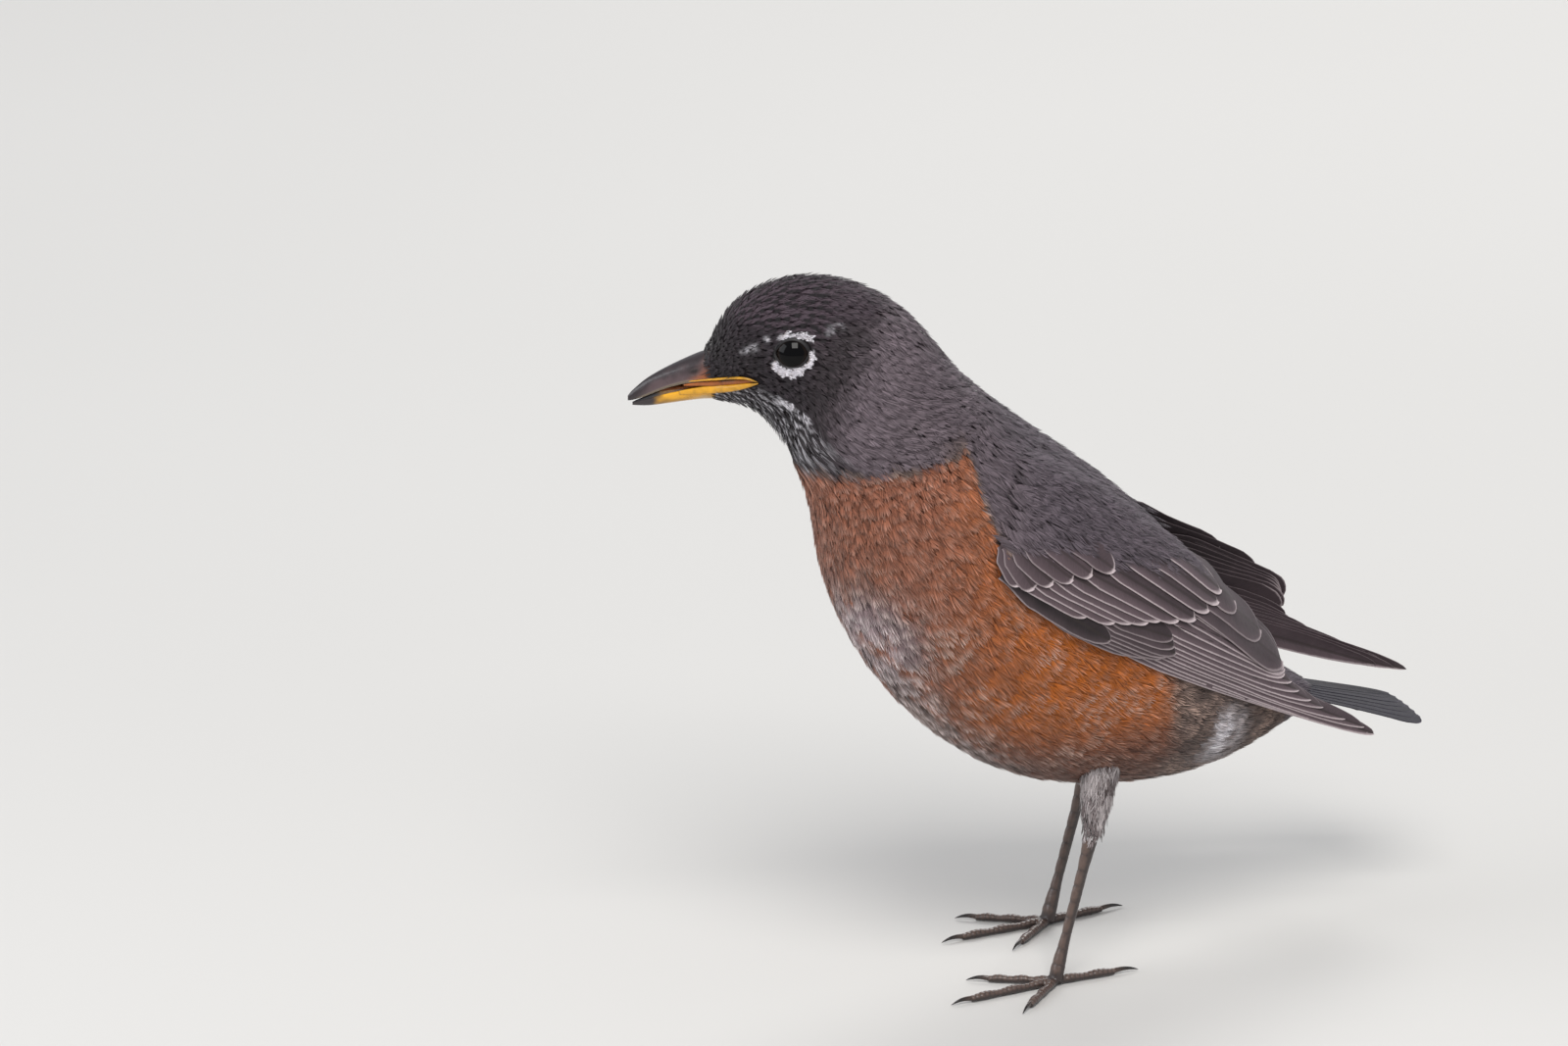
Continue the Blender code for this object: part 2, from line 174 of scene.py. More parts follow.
class RobinColours(bpy.types.PropertyGroup):
    """Colours of the plumage, bill, eyes and feet."""
    black: colour_setting("Darkest marks", "Drops on the crown, throat stripes and the lids", 30, 25, 28)
    hood: colour_setting("Hood", "Front of the head", 39, 32, 37)
    cheek: colour_setting("Cheek", "Side of the head behind the eye", 46, 39, 42)
    crown_edge: colour_setting("Crown edges", "Edges of the feathers of the crown", 67, 56, 63)
    nape: colour_setting("Nape", "Back and sides of the neck", 98, 87, 93)
    back: colour_setting("Back", "Mantle, rump and the small feathers of the wing", 88, 79, 86)
    rust_dull: colour_setting("Upper breast", "Duller rust of the upper breast", 136, 84, 63)
    rust_rich: colour_setting("Flank", "Richer rust under the wing", 168, 90, 27)
    flank: colour_setting("Rear flank", "Grey brown of the rear flank and belly", 94, 79, 74)
    lilac: colour_setting("Breast patch", "Pale patch low on the breast", 154, 134, 140)
    fringe: colour_setting("Fringes", "Worn pale fringes of the breast", 184, 156, 142)
    white: colour_setting("White marks", "Arcs round the eye, streaks and vent", 226, 222, 228)
    down: colour_setting("Down", "Hidden roots of the feathers", 74, 65, 67)
    thigh_pale: colour_setting("Thigh", "Feathers of the thigh", 176, 168, 168)
    thigh_grey: colour_setting("Thigh shade", "Darker streaks of the thigh", 104, 94, 94)
    wing: colour_setting("Wing", "Webs of the wing's stiff feathers", 76, 64, 68)
    wing_pale: colour_setting("Wing edges", "Margins of the wing's stiff feathers", 196, 182, 184)
    tail: colour_setting("Tail", "Webs of the tail feathers", 41, 38, 48)
    tail_pale: colour_setting("Tail edges", "Margins of the tail feathers", 116, 110, 126)
    yellow: colour_setting("Bill yellow", "Lower half of the bill and the corners of the mouth", 232, 168, 34)
    orange: colour_setting("Bill orange", "Root of the upper half of the bill", 168, 92, 34)
    horn_dark: colour_setting("Dark horn", "Ridge and tip of the bill", 46, 38, 40)
    horn_brown: colour_setting("Brown horn", "Sides of the bill", 86, 70, 72)
    horn_pale: colour_setting("Pale horn", "Cutting edges of the bill", 186, 168, 140)
    leg_dark: colour_setting("Leg grooves", "Between the scales of the legs", 52, 42, 40)
    leg_brown: colour_setting("Leg scales", "Scales of the legs", 92, 74, 66)
    claw_dark: colour_setting("Claws", "Tips of the claws", 30, 25, 24)


class RobinSizes(bpy.types.PropertyGroup):
    """Sizes of the feathers, lids and scales."""
    feather_gap: size_setting("Feather spacing", "Least distance between the roots of the body feathers", 1.7)
    feather_length: size_setting("Feather length", "Length of the body feathers", 8.5)
    feather_width: size_setting("Feather width", "Width of the body feathers", 5.2)
    barb_width: size_setting("Barb width", "Width of one barb of a body feather", 0.21)
    coat_depth: size_setting("Coat depth", "How deep the skin lies under the coat on the body", 1.35)
    vane_thickness: size_setting("Vane thickness", "Thickness of a wing or tail feather", 0.16)
    wing_depth: size_setting("Wing depth", "How deep the lowest flight feathers lie in the wing", 1.25)
    eye_opening: size_setting("Eye opening", "Half the width of the opening between the lids", 3.4)
    lid_thickness: size_setting("Lid thickness", "Half the thickness of the lids' rims", 0.28)
    tarsus_scale: size_setting("Leg scale length", "Length of a cross scale of the leg", 3.6)
    toe_scale: size_setting("Toe scale length", "Length of a cross scale of a toe", 1.15)


def tone(name):
    """One of the colour settings."""
    return np.array(getattr(bpy.context.scene.robin_colours, name))


def measure(name):
    """One of the size settings, in mm."""
    return getattr(bpy.context.scene.robin_sizes, name) / MM


# ---- landmarks

def corners(node):
    """Lowest and highest corner of a solid."""
    low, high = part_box(node)
    return np.array(low) / MM, np.array(high) / MM


def within(node, x, y, z):
    """The place at these shares of a solid's box."""
    low, high = corners(node)
    return low + (high - low) * np.array((x, y, z))


EYES = {name: within("eye_" + name, 0.5, 0.5, 0.5) for name, _ in SIDES}
EYE_RADIUS = (corners("eye_left")[1] - corners("eye_left")[0])[2] / 2
HEAD_MID = (EYES["left"] + EYES["right"]) / 2
LEFTWARD = unit(EYES["left"] - EYES["right"])
UPWARD = np.array((0.0, 0.0, 1.0))
AHEAD = np.cross(LEFTWARD, UPWARD)


def head_place(ahead, up, left):
    """A place given by how far it is ahead of, above and left of the point between the eyes."""
    return HEAD_MID + ahead * AHEAD + up * UPWARD + left * LEFTWARD


def head_axes(points):
    """How far points are ahead of, above and left of the point between the eyes."""
    offset = points - HEAD_MID
    return offset @ AHEAD, offset @ UPWARD, offset @ LEFTWARD


PATH_GRAIN = 0.25  # spacing at which a line is softened


def points_along(line, step):
    """Places a step apart on a line through the given ones."""
    length = np.r_[0.0, np.cumsum(np.linalg.norm(np.diff(line, axis=0), axis=1))]
    places = np.arange(0.0, length[-1], step)
    return np.stack([np.interp(places, length, line[:, k]) for k in range(3)], 1)


def softened(line, cells, reach):
    """The line softened by a bell of this width in points, as if its ends ran on by their mirror image."""
    padded = np.concatenate([2 * line[0] - line[reach:0:-1], line, 2 * line[-1] - line[-2:-reach - 2:-1]])
    return blur(padded, cells, 0, False)[reach:-reach]


def smooth_path(points, softness, step):
    """Places a step apart on a soft line through the points."""
    line = points_along(np.array(points, float), PATH_GRAIN)
    return points_along(softened(line, softness / PATH_GRAIN, int(3 * softness / PATH_GRAIN)), step)


# ---- objects and their meshes

def placed(name, data):
    """A new object in the scene that shows the data."""
    made = bpy.data.objects.new(name, data)
    bpy.context.scene.collection.objects.link(made)
    return made


def object_from(bm, name):
    """The bmesh as an object, shaded smooth."""
    mesh = bpy.data.meshes.new(name)
    bm.to_mesh(mesh)
    bm.free()
    mesh.shade_smooth()
    return placed(name, mesh)


def tinted(mesh, label, colours):
    """Gives each vertex a colour under a label: one for all of them, or one for each."""
    colours = np.broadcast_to(colours, (len(mesh.vertices), 3))
    layer = mesh.color_attributes.new(label, "FLOAT_COLOR", "POINT")
    layer.data.foreach_set("color", np.c_[colours, np.ones(len(colours))].astype(np.float32).ravel())


def mesh_object(name, places, faces, colours, maps):
    """An object of triangles from arrays; places in mm, colours and maps for each vertex by their labels."""
    mesh = bpy.data.meshes.new(name)
    mesh.vertices.add(len(places))
    mesh.vertices.foreach_set("co", (places * MM).astype(np.float32).ravel())
    mesh.loops.add(faces.size)
    mesh.loops.foreach_set("vertex_index", faces.astype(np.int32).ravel())
    mesh.polygons.add(len(faces))
    mesh.polygons.foreach_set("loop_start", np.arange(0, faces.size, 3, dtype=np.int32))
    for label, values in colours.items():
        tinted(mesh, label, values)
    for label, values in maps.items():
        layer = mesh.uv_layers.new(name=label)
        layer.data.foreach_set("uv", values[faces.ravel()].astype(np.float32).ravel())
    mesh.update(calc_edges=True)
    mesh.shade_smooth()
    return placed(name, mesh)


def vertex_values(piece, label):
    """The places ("co") or the normals ("normal") of the piece's vertices, as Blender holds them."""
    values = np.empty(len(piece.data.vertices) * 3, np.float32)
    piece.data.vertices.foreach_get(label, values)
    return values.reshape(-1, 3).astype(float)


def vertex_places(piece):
    """The piece's vertices in mm."""
    return vertex_values(piece, "co") / MM


# ---- surfaces to lay feathers on

class Sheet:
    """A grid of places on a surface, read between its rows and columns."""

    def __init__(self, places, step, closed, outward):
        self.places, self.step, self.closed = places, step, closed
        along = np.gradient(places, axis=0) / step[0]
        if closed:
            across = (np.roll(places, -1, 1) - np.roll(places, 1, 1)) / (2 * step[1])
        else:
            across = np.gradient(places, axis=1) / step[1]
        normal = unit(np.cross(along, across))
        middle = (len(places) // 2, places.shape[1] // 3)
        self.hand = 1.0 if normal[middle] @ outward(places)[middle] > 0 else -1.0
        self.normals = normal * self.hand
        self.stretch = np.stack([np.linalg.norm(along, axis=-1), np.linalg.norm(across, axis=-1)], -1)

    def read(self, grid, u, v, overrun=12.0):
        """Values of a grid at u and v; past the first and last row they go on straight."""
        row, column = u / self.step[0], v / self.step[1]
        rows, columns = grid.shape[:2]
        i = np.clip(np.floor(row).astype(int), 0, rows - 2)
        row_share = np.clip(row - i, -overrun, overrun)[..., None]
        if self.closed:
            j = np.floor(column).astype(int)
            column_share = (column - j)[..., None]
            j, after = j % columns, (j + 1) % columns
        else:
            j = np.clip(np.floor(column).astype(int), 0, columns - 2)
            column_share = np.clip(column - j, -overrun, overrun)[..., None]
            after = j + 1
        low = grid[i, j] * (1 - column_share) + grid[i, after] * column_share
        high = grid[i + 1, j] * (1 - column_share) + grid[i + 1, after] * column_share
        return low * (1 - row_share) + high * row_share

    def place(self, u, v, height):
        """Places over the surface."""
        normal = unit(self.read(self.normals, u, v, 1.0))
        return self.read(self.places, u, v) + normal * np.asarray(height)[..., None]


RELAX_FACTOR = 0.5
BODY_VOXEL, WING_VOXEL, FACE_VOXEL, FOOT_VOXEL = 0.9, 0.5, 0.6, 0.2


def joined_forms(bm, voxel, relax):
    """One closed bmesh round the forms in a bmesh, without their inner walls."""
    made = object_from(bm, "joined")
    remesh = made.modifiers.new("Remesh", "REMESH")
    remesh.mode = "VOXEL"
    remesh.voxel_size = voxel * MM
    smooth = made.modifiers.new("Smooth", "SMOOTH")
    smooth.iterations = relax
    smooth.factor = RELAX_FACTOR
    evaluated = made.evaluated_get(bpy.context.evaluated_depsgraph_get())
    bm = bmesh.new()
    bm.from_mesh(evaluated.to_mesh())
    evaluated.to_mesh_clear()
    mesh = made.data
    bpy.data.objects.remove(made)
    bpy.data.meshes.remove(mesh)
    return bm


def joined_copy(nodes, voxel, relax):
    """One closed bmesh round copies of some solids, in metres, without their facets and inner gaps."""
    bm = bmesh.new()
    for node in nodes:
        bm.from_mesh(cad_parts[node].data)
    bmesh.ops.remove_doubles(bm, verts=bm.verts, dist=WELD)
    return joined_forms(bm, voxel, relax)


def face_tree(nodes, voxel, relax):
    """A tree to cast rays at the joined copy of some solids."""
    bm = joined_copy(nodes, voxel, relax)
    tree = BVHTree.FromBMesh(bm)
    bm.free()
    return tree


BODY_STEP = 1.1
BODY_COLUMNS = 144
BODY_RAY = 80.0  # longest way from the spine to the outside
# Points that the spine runs through: ahead of and above the point between the eyes, then shares of the
# trunk's box
SPINE_HEAD = ((17.8, -5.6), (11.0, -3.5), (2.0, -3.0), (-6.5, -5.5))
SPINE_TRUNK = ((0.177, 0.697), (0.39, 0.434), (0.68, 0.226), (0.893, 0.138), (0.99, 0.122))
SPINE_EASES = (34.0, 58.0)  # along the spine, where its bends get softer


def spine_path():
    """The line that the body's rings are centred on, from the face to past the root of the tail."""
    head = [head_place(*spot, 0.0) for spot in SPINE_HEAD]
    neck = [within("neck", 0.5, 0.5, 0.5) - UPWARD]
    trunk = [within("trunk", x, 0.5, z) * (1.0, 0.0, 1.0) for x, z in SPINE_TRUNK]
    tail = [within("tail", 0.75, 0.5, 0.42)]
    path = smooth_path(head + neck + trunk + tail, 5.5, BODY_STEP)
    share = ramp(np.arange(len(path)) * BODY_STEP, *SPINE_EASES)[:, None]
    return smooth_path(mixed_number(path, softened(path, 11.0, 34), share), 1.0, BODY_STEP)


def body_sheet(nodes, soft_rows, soft_columns):
    """A sheet round the spine through the outermost faces of some solids."""
    tree = face_tree(nodes, BODY_VOXEL, 3)
    along = unit(np.gradient(SPINE, axis=0))
    upward = unit(UPWARD - along * (along @ UPWARD)[:, None])
    leftward = np.cross(along, upward)
    angles = turns(BODY_COLUMNS)
    rays = upward[:, None] * np.cos(angles)[:, None] + leftward[:, None] * np.sin(angles)[:, None]
    reach = np.zeros(rays.shape[:2])
    for i, centre in enumerate(SPINE):
        hits = [tree.ray_cast(Vector(centre) * MM, Vector(ray), BODY_RAY * MM)[3] for ray in rays[i]]
        known = [j for j, hit in enumerate(hits) if hit]
        far = [hits[j] / MM for j in known]
        reach[i] = np.interp(np.arange(BODY_COLUMNS), known, far, period=BODY_COLUMNS)
    reach = blur(blur(reach, soft_rows, 0, False), soft_columns, 1, True)
    places = SPINE[:, None] + rays * reach[..., None]
    return Sheet(places, (BODY_STEP, 2 * math.pi / BODY_COLUMNS), True, lambda grid: grid - SPINE[:, None])


WING_NODES = ("coverts", "secondaries", "primaries")
WING_LOWEST, WING_HIGHEST = -30.0, 34.0  # how far below and above its long axis a wing is read
WING_CELL = 0.5
WING_RAY = 60.0  # how far out from the middle of the bird the rays at a wing start
RUN_ON = 10  # cells past its upper edge over which a wing's face goes on straight


class WingSheet(Sheet):
    """The outer face of a folded wing over its long axis: u runs to the tip, v up across it."""

    def __init__(self, name, side):
        low, high = corners(f"wing_{name}_coverts")
        tip_low, tip_high = corners(f"wing_{name}_primaries")
        self.front = np.array((low[0], 0.0, low[2] + 0.68 * (high - low)[2]))
        tip = np.array((tip_high[0], 0.0, tip_low[2] + 1.0))
        self.length = np.linalg.norm(tip - self.front)
        self.along = (tip - self.front) / self.length
        self.over = np.array((-self.along[2], 0.0, self.along[0]))
        tree = face_tree([f"wing_{name}_{part}" for part in WING_NODES], WING_VOXEL, 2)
        rows = int(self.length) + 2
        spots = np.arange(WING_LOWEST, WING_HIGHEST, WING_CELL)
        cells = np.arange(len(spots))
        grid = self.front + self.along * np.arange(rows)[:, None, None] + self.over * spots[:, None]
        self.edges = np.zeros((rows, 2))
        depth = np.zeros((rows, len(spots)))
        for i in range(rows):
            starts = [Vector(place) * MM for place in grid[i]]
            for start in starts:
                start.y = -side * WING_RAY * MM
            hits = [tree.ray_cast(start, Vector((0.0, side, 0.0)), WING_RAY * MM)[0] for start in starts]
            where = [j for j, hit in enumerate(hits) if hit]
            if not where:
                depth[i], self.edges[i] = depth[i - 1], self.edges[i - 1]
                continue
            found = [hits[j].y / MM for j in where]
            self.edges[i] = spots[where[0]], spots[where[-1]]
            slope = (found[-1] - found[-3]) / 2 if len(where) > 3 else 0.0
            past = cells - where[-1]
            depth[i] = np.interp(cells, where, found)
            depth[i] += np.where(past > 0, np.clip(past, 0, RUN_ON) * slope, 0.0)
        self.edges = blur(self.edges, 1.5, 0, False)
        grid[..., 1] = blur(blur(depth, 1.6, 0, False), 2.4, 1, False)
        outward = np.array((0.0, -side, 0.0))
        super().__init__(grid, (1.0, WING_CELL), False, lambda places: np.full(places.shape, outward))

    def reach_at(self, u):
        """The wing's lowest and highest reach across its axis at u."""
        rows = np.arange(len(self.edges))
        return [np.interp(u, rows, self.edges[:, k]) for k in (0, 1)]

    def spot(self, along, across):
        """Grid coordinates of a place given by its shares of the wing's length and of its height there."""
        u = np.asarray(along, float) * self.length
        low, high = self.reach_at(u)
        return u, low + (high - low) * across - WING_LOWEST

    def shares_at(self, u, over):
        """The shares of the wing's length and height at u along its axis and over above it."""
        low, high = self.reach_at(u)
        return u / self.length, (over - low) / np.maximum(high - low, 1.0)

    def shares(self, points):
        """The shares of length and height of points seen from the wing's side."""
        offset = points - self.front
        return self.shares_at(offset @ self.along, offset @ self.over)

    def ahead_of(self, u, v, line):
        """How far places lie ahead of a line across the wing, both in shares of its length."""
        along, across = self.shares_at(u, v + WING_LOWEST)
        line = np.array(line)
        return np.interp(across, line[:, 1], line[:, 0]) - along


CORE = ("head", "neck", "trunk", "tail", "eye_left", "eye_right")
SPINE = spine_path()
BODY = body_sheet(CORE, 1.4, 1.2)
WINGS = {name: WingSheet(name, side) for name, side in SIDES}
WING_FRONTS = tuple(f"wing_{name}_{part}" for name, _ in SIDES for part in WING_NODES[:2])
MANTLE = body_sheet(CORE + WING_FRONTS, 2.6, 1.8)
BODY_LENGTH = (len(SPINE) - 1) * BODY_STEP


# ---- markings

HOOD_FRONT = within("trunk", 0.0, 0.5, 0.803)
HOOD_SLOPE = 0.2
WING_BORDER = np.array([
    within("wing_left_coverts", x, 0.5, z)
    for x, z in ((-0.027, 1.017), (0.028, 0.76), (0.12, 0.51), (0.56, 0.22), (0.97, 0.01), (1.48, -0.13))
])
TAIL_ROOT = within("tail", 0.05, 0.5, 0.5)[0]
RUMP_START = within("trunk", 0.58, 0.5, 0.5)[0]
RUMP_SIDE = 17.0  # half the width of the rump
RUST_END = within("wing_left_coverts", 0.93, 0.5, 0.5)[0]
LOW_BELLY = (62.0, 44.0)  # heights between which the belly is painted darker towards its underside as painted shade, with fewer pale fringes
BREAST_PATCH = within("trunk", 0.083, 0.41, 0.43)
BREAST_PATCH_SIZE = (11.0, 13.0, 12.0)
VENT_PATCH = within("trunk", 0.752, 0.24, 0.122) * (1.0, 0.0, 1.0)
VENT_PATCH_SIZE = (5.0, 40.0, 7.0)
EYE_FLATTEN = 0.88
EYE_SHIFT = 0.3 * AHEAD + 0.8 * UPWARD  # of the eyeballs from their solids, so that the lids sit as in life
GAZE = {name: unit(side * LEFTWARD + 0.12 * AHEAD + 0.2 * UPWARD) for name, side in SIDES}
# Marks on the side of the head, ahead of and above the point between the eyes
EYE_MIDDLE = (0.86, 1.74)
# White arcs: from and to angle (0 behind, 90 above), inner and outer radius, how far the rear end drifts off
EYE_ARCS = ((36.0, 128.0, 3.7, 4.9, 2.0), (-72.0, 8.0, 4.2, 4.9, 0.0), (-146.0, -60.0, 3.7, 6.1, 0.0))
LORE_SPOTS = ((8.8, 2.2, 0.75), (10.4, 1.6, 0.6), (6.1, 4.2, 0.55), (11.4, 0.9, 0.45))  # with their sizes
MALAR = ((4.0, -9.3), (-3.4, -13.3))
BROW = ((-5.2, 6.2), (-9.8, 7.5))
THROAT_STRIPES = 44.0  # turns of the stripes' wave for one radian round the throat


def line_distance(x, y, start, end):
    """How far places in a plane are from a line between two points."""
    start, end = np.array(start), np.array(end)
    way = end - start
    share = np.clip(((x - start[0]) * way[0] + (y - start[1]) * way[1]) / (way @ way), 0.0, 1.0)
    return np.hypot(x - start[0] - share * way[0], y - start[1] - share * way[1])


def hood_height(x):
    """How high the lower edge of the hood stands."""
    return HOOD_FRONT[2] + HOOD_SLOPE * (x - HOOD_FRONT[0])


def bell(offsets, size):
    """1 at no offset, falling off over a size along each axis."""
    return np.exp(-((offsets / size) ** 2).sum(-1))


def trunk_markings(points):
    """Rust breast, grey back and pale vent: own colour, fringe colour and how much the fringes show."""
    x, y, z = points[..., 0], points[..., 1], points[..., 2]
    rough = noise(points, 2.2) - 0.5
    broad = noise(points + 40.0, 7.0)
    patchy = noise(points + 90.0, 4.0)
    over_wing = np.interp(x, WING_BORDER[:, 0], WING_BORDER[:, 2])
    border = np.where(x < WING_BORDER[0, 0], hood_height(x), over_wing)
    over_spine = z - np.interp(x, SPINE[:, 0], SPINE[:, 2])
    rump = ramp(over_spine, 0.0, 4.0) * ramp(x, 18.0, 30.0) * ramp(np.abs(y), RUMP_SIDE, 12.0)
    rust = ramp(border - z + 3.0 * rough, -1.2, 1.6)
    rust = rust * ramp(x + 8.0 * (broad - 0.5), RUST_END + 5.0, RUST_END - 4.0) * (1.0 - rump)
    # The rust: duller on the breast, richer on the flank, worn pale down the middle and in a patch
    rich = ramp(x + 6.0 * (broad - 0.5), -50.0, -14.0) * ramp(z, 48.0, 66.0)
    ground = mixed(tone("rust_dull"), tone("rust_rich"), rich)
    middle = ramp(np.abs(y + 2.0), 17.0, 5.0) * ramp(z, 92.0, 76.0)
    middle *= 1.0 - 0.7 * ramp(x, -26.0, -10.0) * ramp(x, 36.0, 26.0)
    patch = bell(points - BREAST_PATCH, BREAST_PATCH_SIZE)
    low = ramp(z, *LOW_BELLY)
    pale = np.clip(0.75 * middle + 1.1 * patch + 0.18 * low, 0.0, 1.0)
    share = np.clip(1.6 * pale * ramp(patchy, 0.2, 0.55), 0.0, 0.9)
    # Painted shade: the belly's colour darkened towards its underside
    ground = ground * mixed_number(1.0, 0.52, low)[..., None]
    ground = mixed(ground, mixed(tone("flank"), tone("lilac"), patch), share)
    amount = 0.25 + 0.75 * pale + 0.5 * ramp(broad, 0.45, 0.8) * ramp(z, 100.0, 80.0)
    amount = np.clip(amount, 0.0, 1.0) * (1.0 - 0.5 * low)
    fringe = mixed(tone("fringe"), tone("white"), pale * 0.5)
    # The grey: nape and back, browner below the wing, white at the vent
    below = ramp(border - z, -6.0, 0.0) * ramp(x, 56.0, 50.0) * (1.0 - rump)
    grey = mixed(mixed(tone("back"), tone("nape"), ramp(x, -14.0, -34.0)), tone("flank") * 0.85, below)
    vent = bell(points - VENT_PATCH, VENT_PATCH_SIZE) * ramp(z, 62.0, 54.0)
    grey = mixed(grey, tone("white"), np.clip(vent * 1.2 * ramp(patchy, 0.3, 0.55), 0.0, 1.0))
    fringe = mixed(mixed(tone("back") * 1.35, tone("fringe"), below), fringe, rust)
    amount = mixed_number(0.22 + 0.5 * below * ramp(broad, 0.4, 0.7), amount, rust)
    return mixed(grey, ground, rust), fringe, amount


def eye_arcs(ahead, up, rough):
    """How much of the white arcs round the eye shows at places on the side of the head."""
    fore, over = ahead - EYE_MIDDLE[0], (up - EYE_MIDDLE[1]) / EYE_FLATTEN
    distance = np.hypot(fore, over)
    angle = np.degrees(np.arctan2(over, -fore))
    share = 0.0
    for start, end, inner, outer, flare in EYE_ARCS:
        ragged = angle + 12.0 * rough
        edge = ramp(ragged, start - 5.0, start + 5.0) * ramp(ragged, end + 5.0, end - 5.0)
        drift = flare * ramp(angle, 80.0, 35.0)
        near, far = inner + 0.7 * drift, outer + drift
        ends = np.clip(np.minimum(angle - start, end - angle) / 32.0, 0.0, 1.0) ** 0.6
        far = near + (far - near) * (0.35 + 0.65 * ends)
        band = ramp(distance + 0.5 * rough, near - 0.4, near) * ramp(distance + rough, far + 0.3, far - 0.3)
        share = np.maximum(share, edge * band)
    return share


def head_markings(points):
    """The hood, throat and face: own colour."""
    ahead, up, left = head_axes(points)
    rough = noise(points + 20.0, 1.6) - 0.5
    streak = noise(points * (1.0, 1.0, 0.55) + 70.0, 1.5)
    fine = noise(points * (1.0, 1.0, 0.6) + 33.0, 0.7)
    aside = np.abs(left)
    cheek_side, brow_side = aside > 3.0, aside > 4.0
    white = tone("white")
    back = ramp(ahead + 0.35 * up + 5.0 * rough, -9.0, -21.0)
    ground = mixed(mixed(tone("hood"), tone("cheek"), ramp(ahead, 2.0, -8.0)), tone("nape"), back)
    ground = mixed(ground, tone("crown_edge"), ramp(up, 6.5, 10.0) * (1.0 - back))
    lore = ramp(ahead, 5.5, 9.0) * ramp(up, 5.0, 1.5) * ramp(up, -9.0, -6.0)
    ground = mixed(ground, tone("black") * 1.25, 0.8 * lore)
    for ahead_at, up_at, size in LORE_SPOTS:
        spot = np.exp(-((ahead - ahead_at) ** 2 + (up - up_at) ** 2) / size ** 2)
        spot = np.clip(1.1 * spot, 0.0, 1.0) * cheek_side * ramp(streak, 0.2, 0.5)
        ground = mixed(ground, white * 0.6, spot)
    ground = mixed(ground, white, eye_arcs(ahead, up, rough) * cheek_side)
    brow = ramp(line_distance(ahead, up, *BROW) + 1.2 * rough, 1.2, 0.3)
    ground = mixed(ground, white * 0.7, 0.7 * brow * brow_side * ramp(streak, 0.35, 0.6))
    depth = (ahead - 6.0) * 0.47 - (up + 4.0) * 0.88
    turn = np.arctan2(aside, depth)
    throat = ramp(turn, 1.3, 1.1) * ramp(ahead, -20.0, -13.0) * ramp(depth, 0.5, 2.5) * ramp(up, -6.8, -8.2)
    wave = np.sin(turn * THROAT_STRIPES + 6.0 * (streak - 0.5))
    pale = mixed(white * 0.45, tone("cheek") * 1.2, ramp(ahead, -1.0, -11.0) * 0.7)
    stripes = mixed(tone("black") * 1.3, pale, ramp(wave + 1.4 * (streak - 0.5), 0.05, 0.7))
    ground = mixed(ground, stripes, 0.92 * throat)
    malar = ramp(line_distance(ahead, up, *MALAR) + 1.2 * rough, 1.0, 0.4)
    return mixed(ground, white * 0.85, malar * cheek_side * ramp(fine, 0.3, 0.5))


def markings(points):
    """Own colour, fringe colour and how much the fringes show, at places on the bird in mm."""
    ground, fringe, amount = trunk_markings(points)
    ahead, up, _ = head_axes(points)
    over = points[..., 2] - hood_height(points[..., 0])
    over = ramp(over + 4.0 * (noise(points, 2.2) - 0.5), -0.8, 1.8)
    head = over * ramp(ahead - 0.4 * up, -30.0, -22.0)
    ground = mixed(ground, head_markings(points), head)
    return ground, mixed(fringe, tone("nape") * 1.15, head), mixed_number(amount, 0.15, head)


# ---- soft feathers

class Coat:
    """Feather geometry gathered for one piece."""

    def __init__(self):
        self.parts, self.count = [], 0

    def add(self, places, faces, colours, maps):
        """Takes in some feathers, with the colours and maps of their vertices by their labels."""
        self.parts.append((places, faces + self.count, colours, maps))
        self.count += len(places)

    def build(self, name):
        """The gathered feathers as one object."""
        places, faces = (np.concatenate([part[k] for part in self.parts]) for k in (0, 1))
        colours, maps = (
            {label: np.concatenate([part[k][label] for part in self.parts]) for label in self.parts[0][k]}
            for k in (2, 3)
        )
        return mesh_object(name, places, faces, colours, maps)


BARB_ROWS = np.array((0.0, 0.4, 0.74, 1.0))
BARB_TAPER = np.array((0.9, 1.0, 0.8, 0.0))
BARB_POINTS = 7  # two on each row but the last, where both edges meet
BARB_FACES = np.array(((0, 1, 3), (0, 3, 2), (2, 3, 5), (2, 5, 4), (4, 5, 6)))
PATCH = 0.003  # size of a feather on the unwrap


def bent(start, middle, end, t):
    """A bend through three numbers for each barb, and its slope, at shares t of the way along it."""
    start, middle, end = start[..., None], middle[..., None], end[..., None]
    return (start * (1 - t) ** 2 + middle * 2 * t * (1 - t) + end * t ** 2,
            (middle - start) * (1 - t) + (end - middle) * t)


def in_barbs(values):
    """The values at a barb's own points, out of two for each of its rows."""
    return values[:, :, :BARB_POINTS]


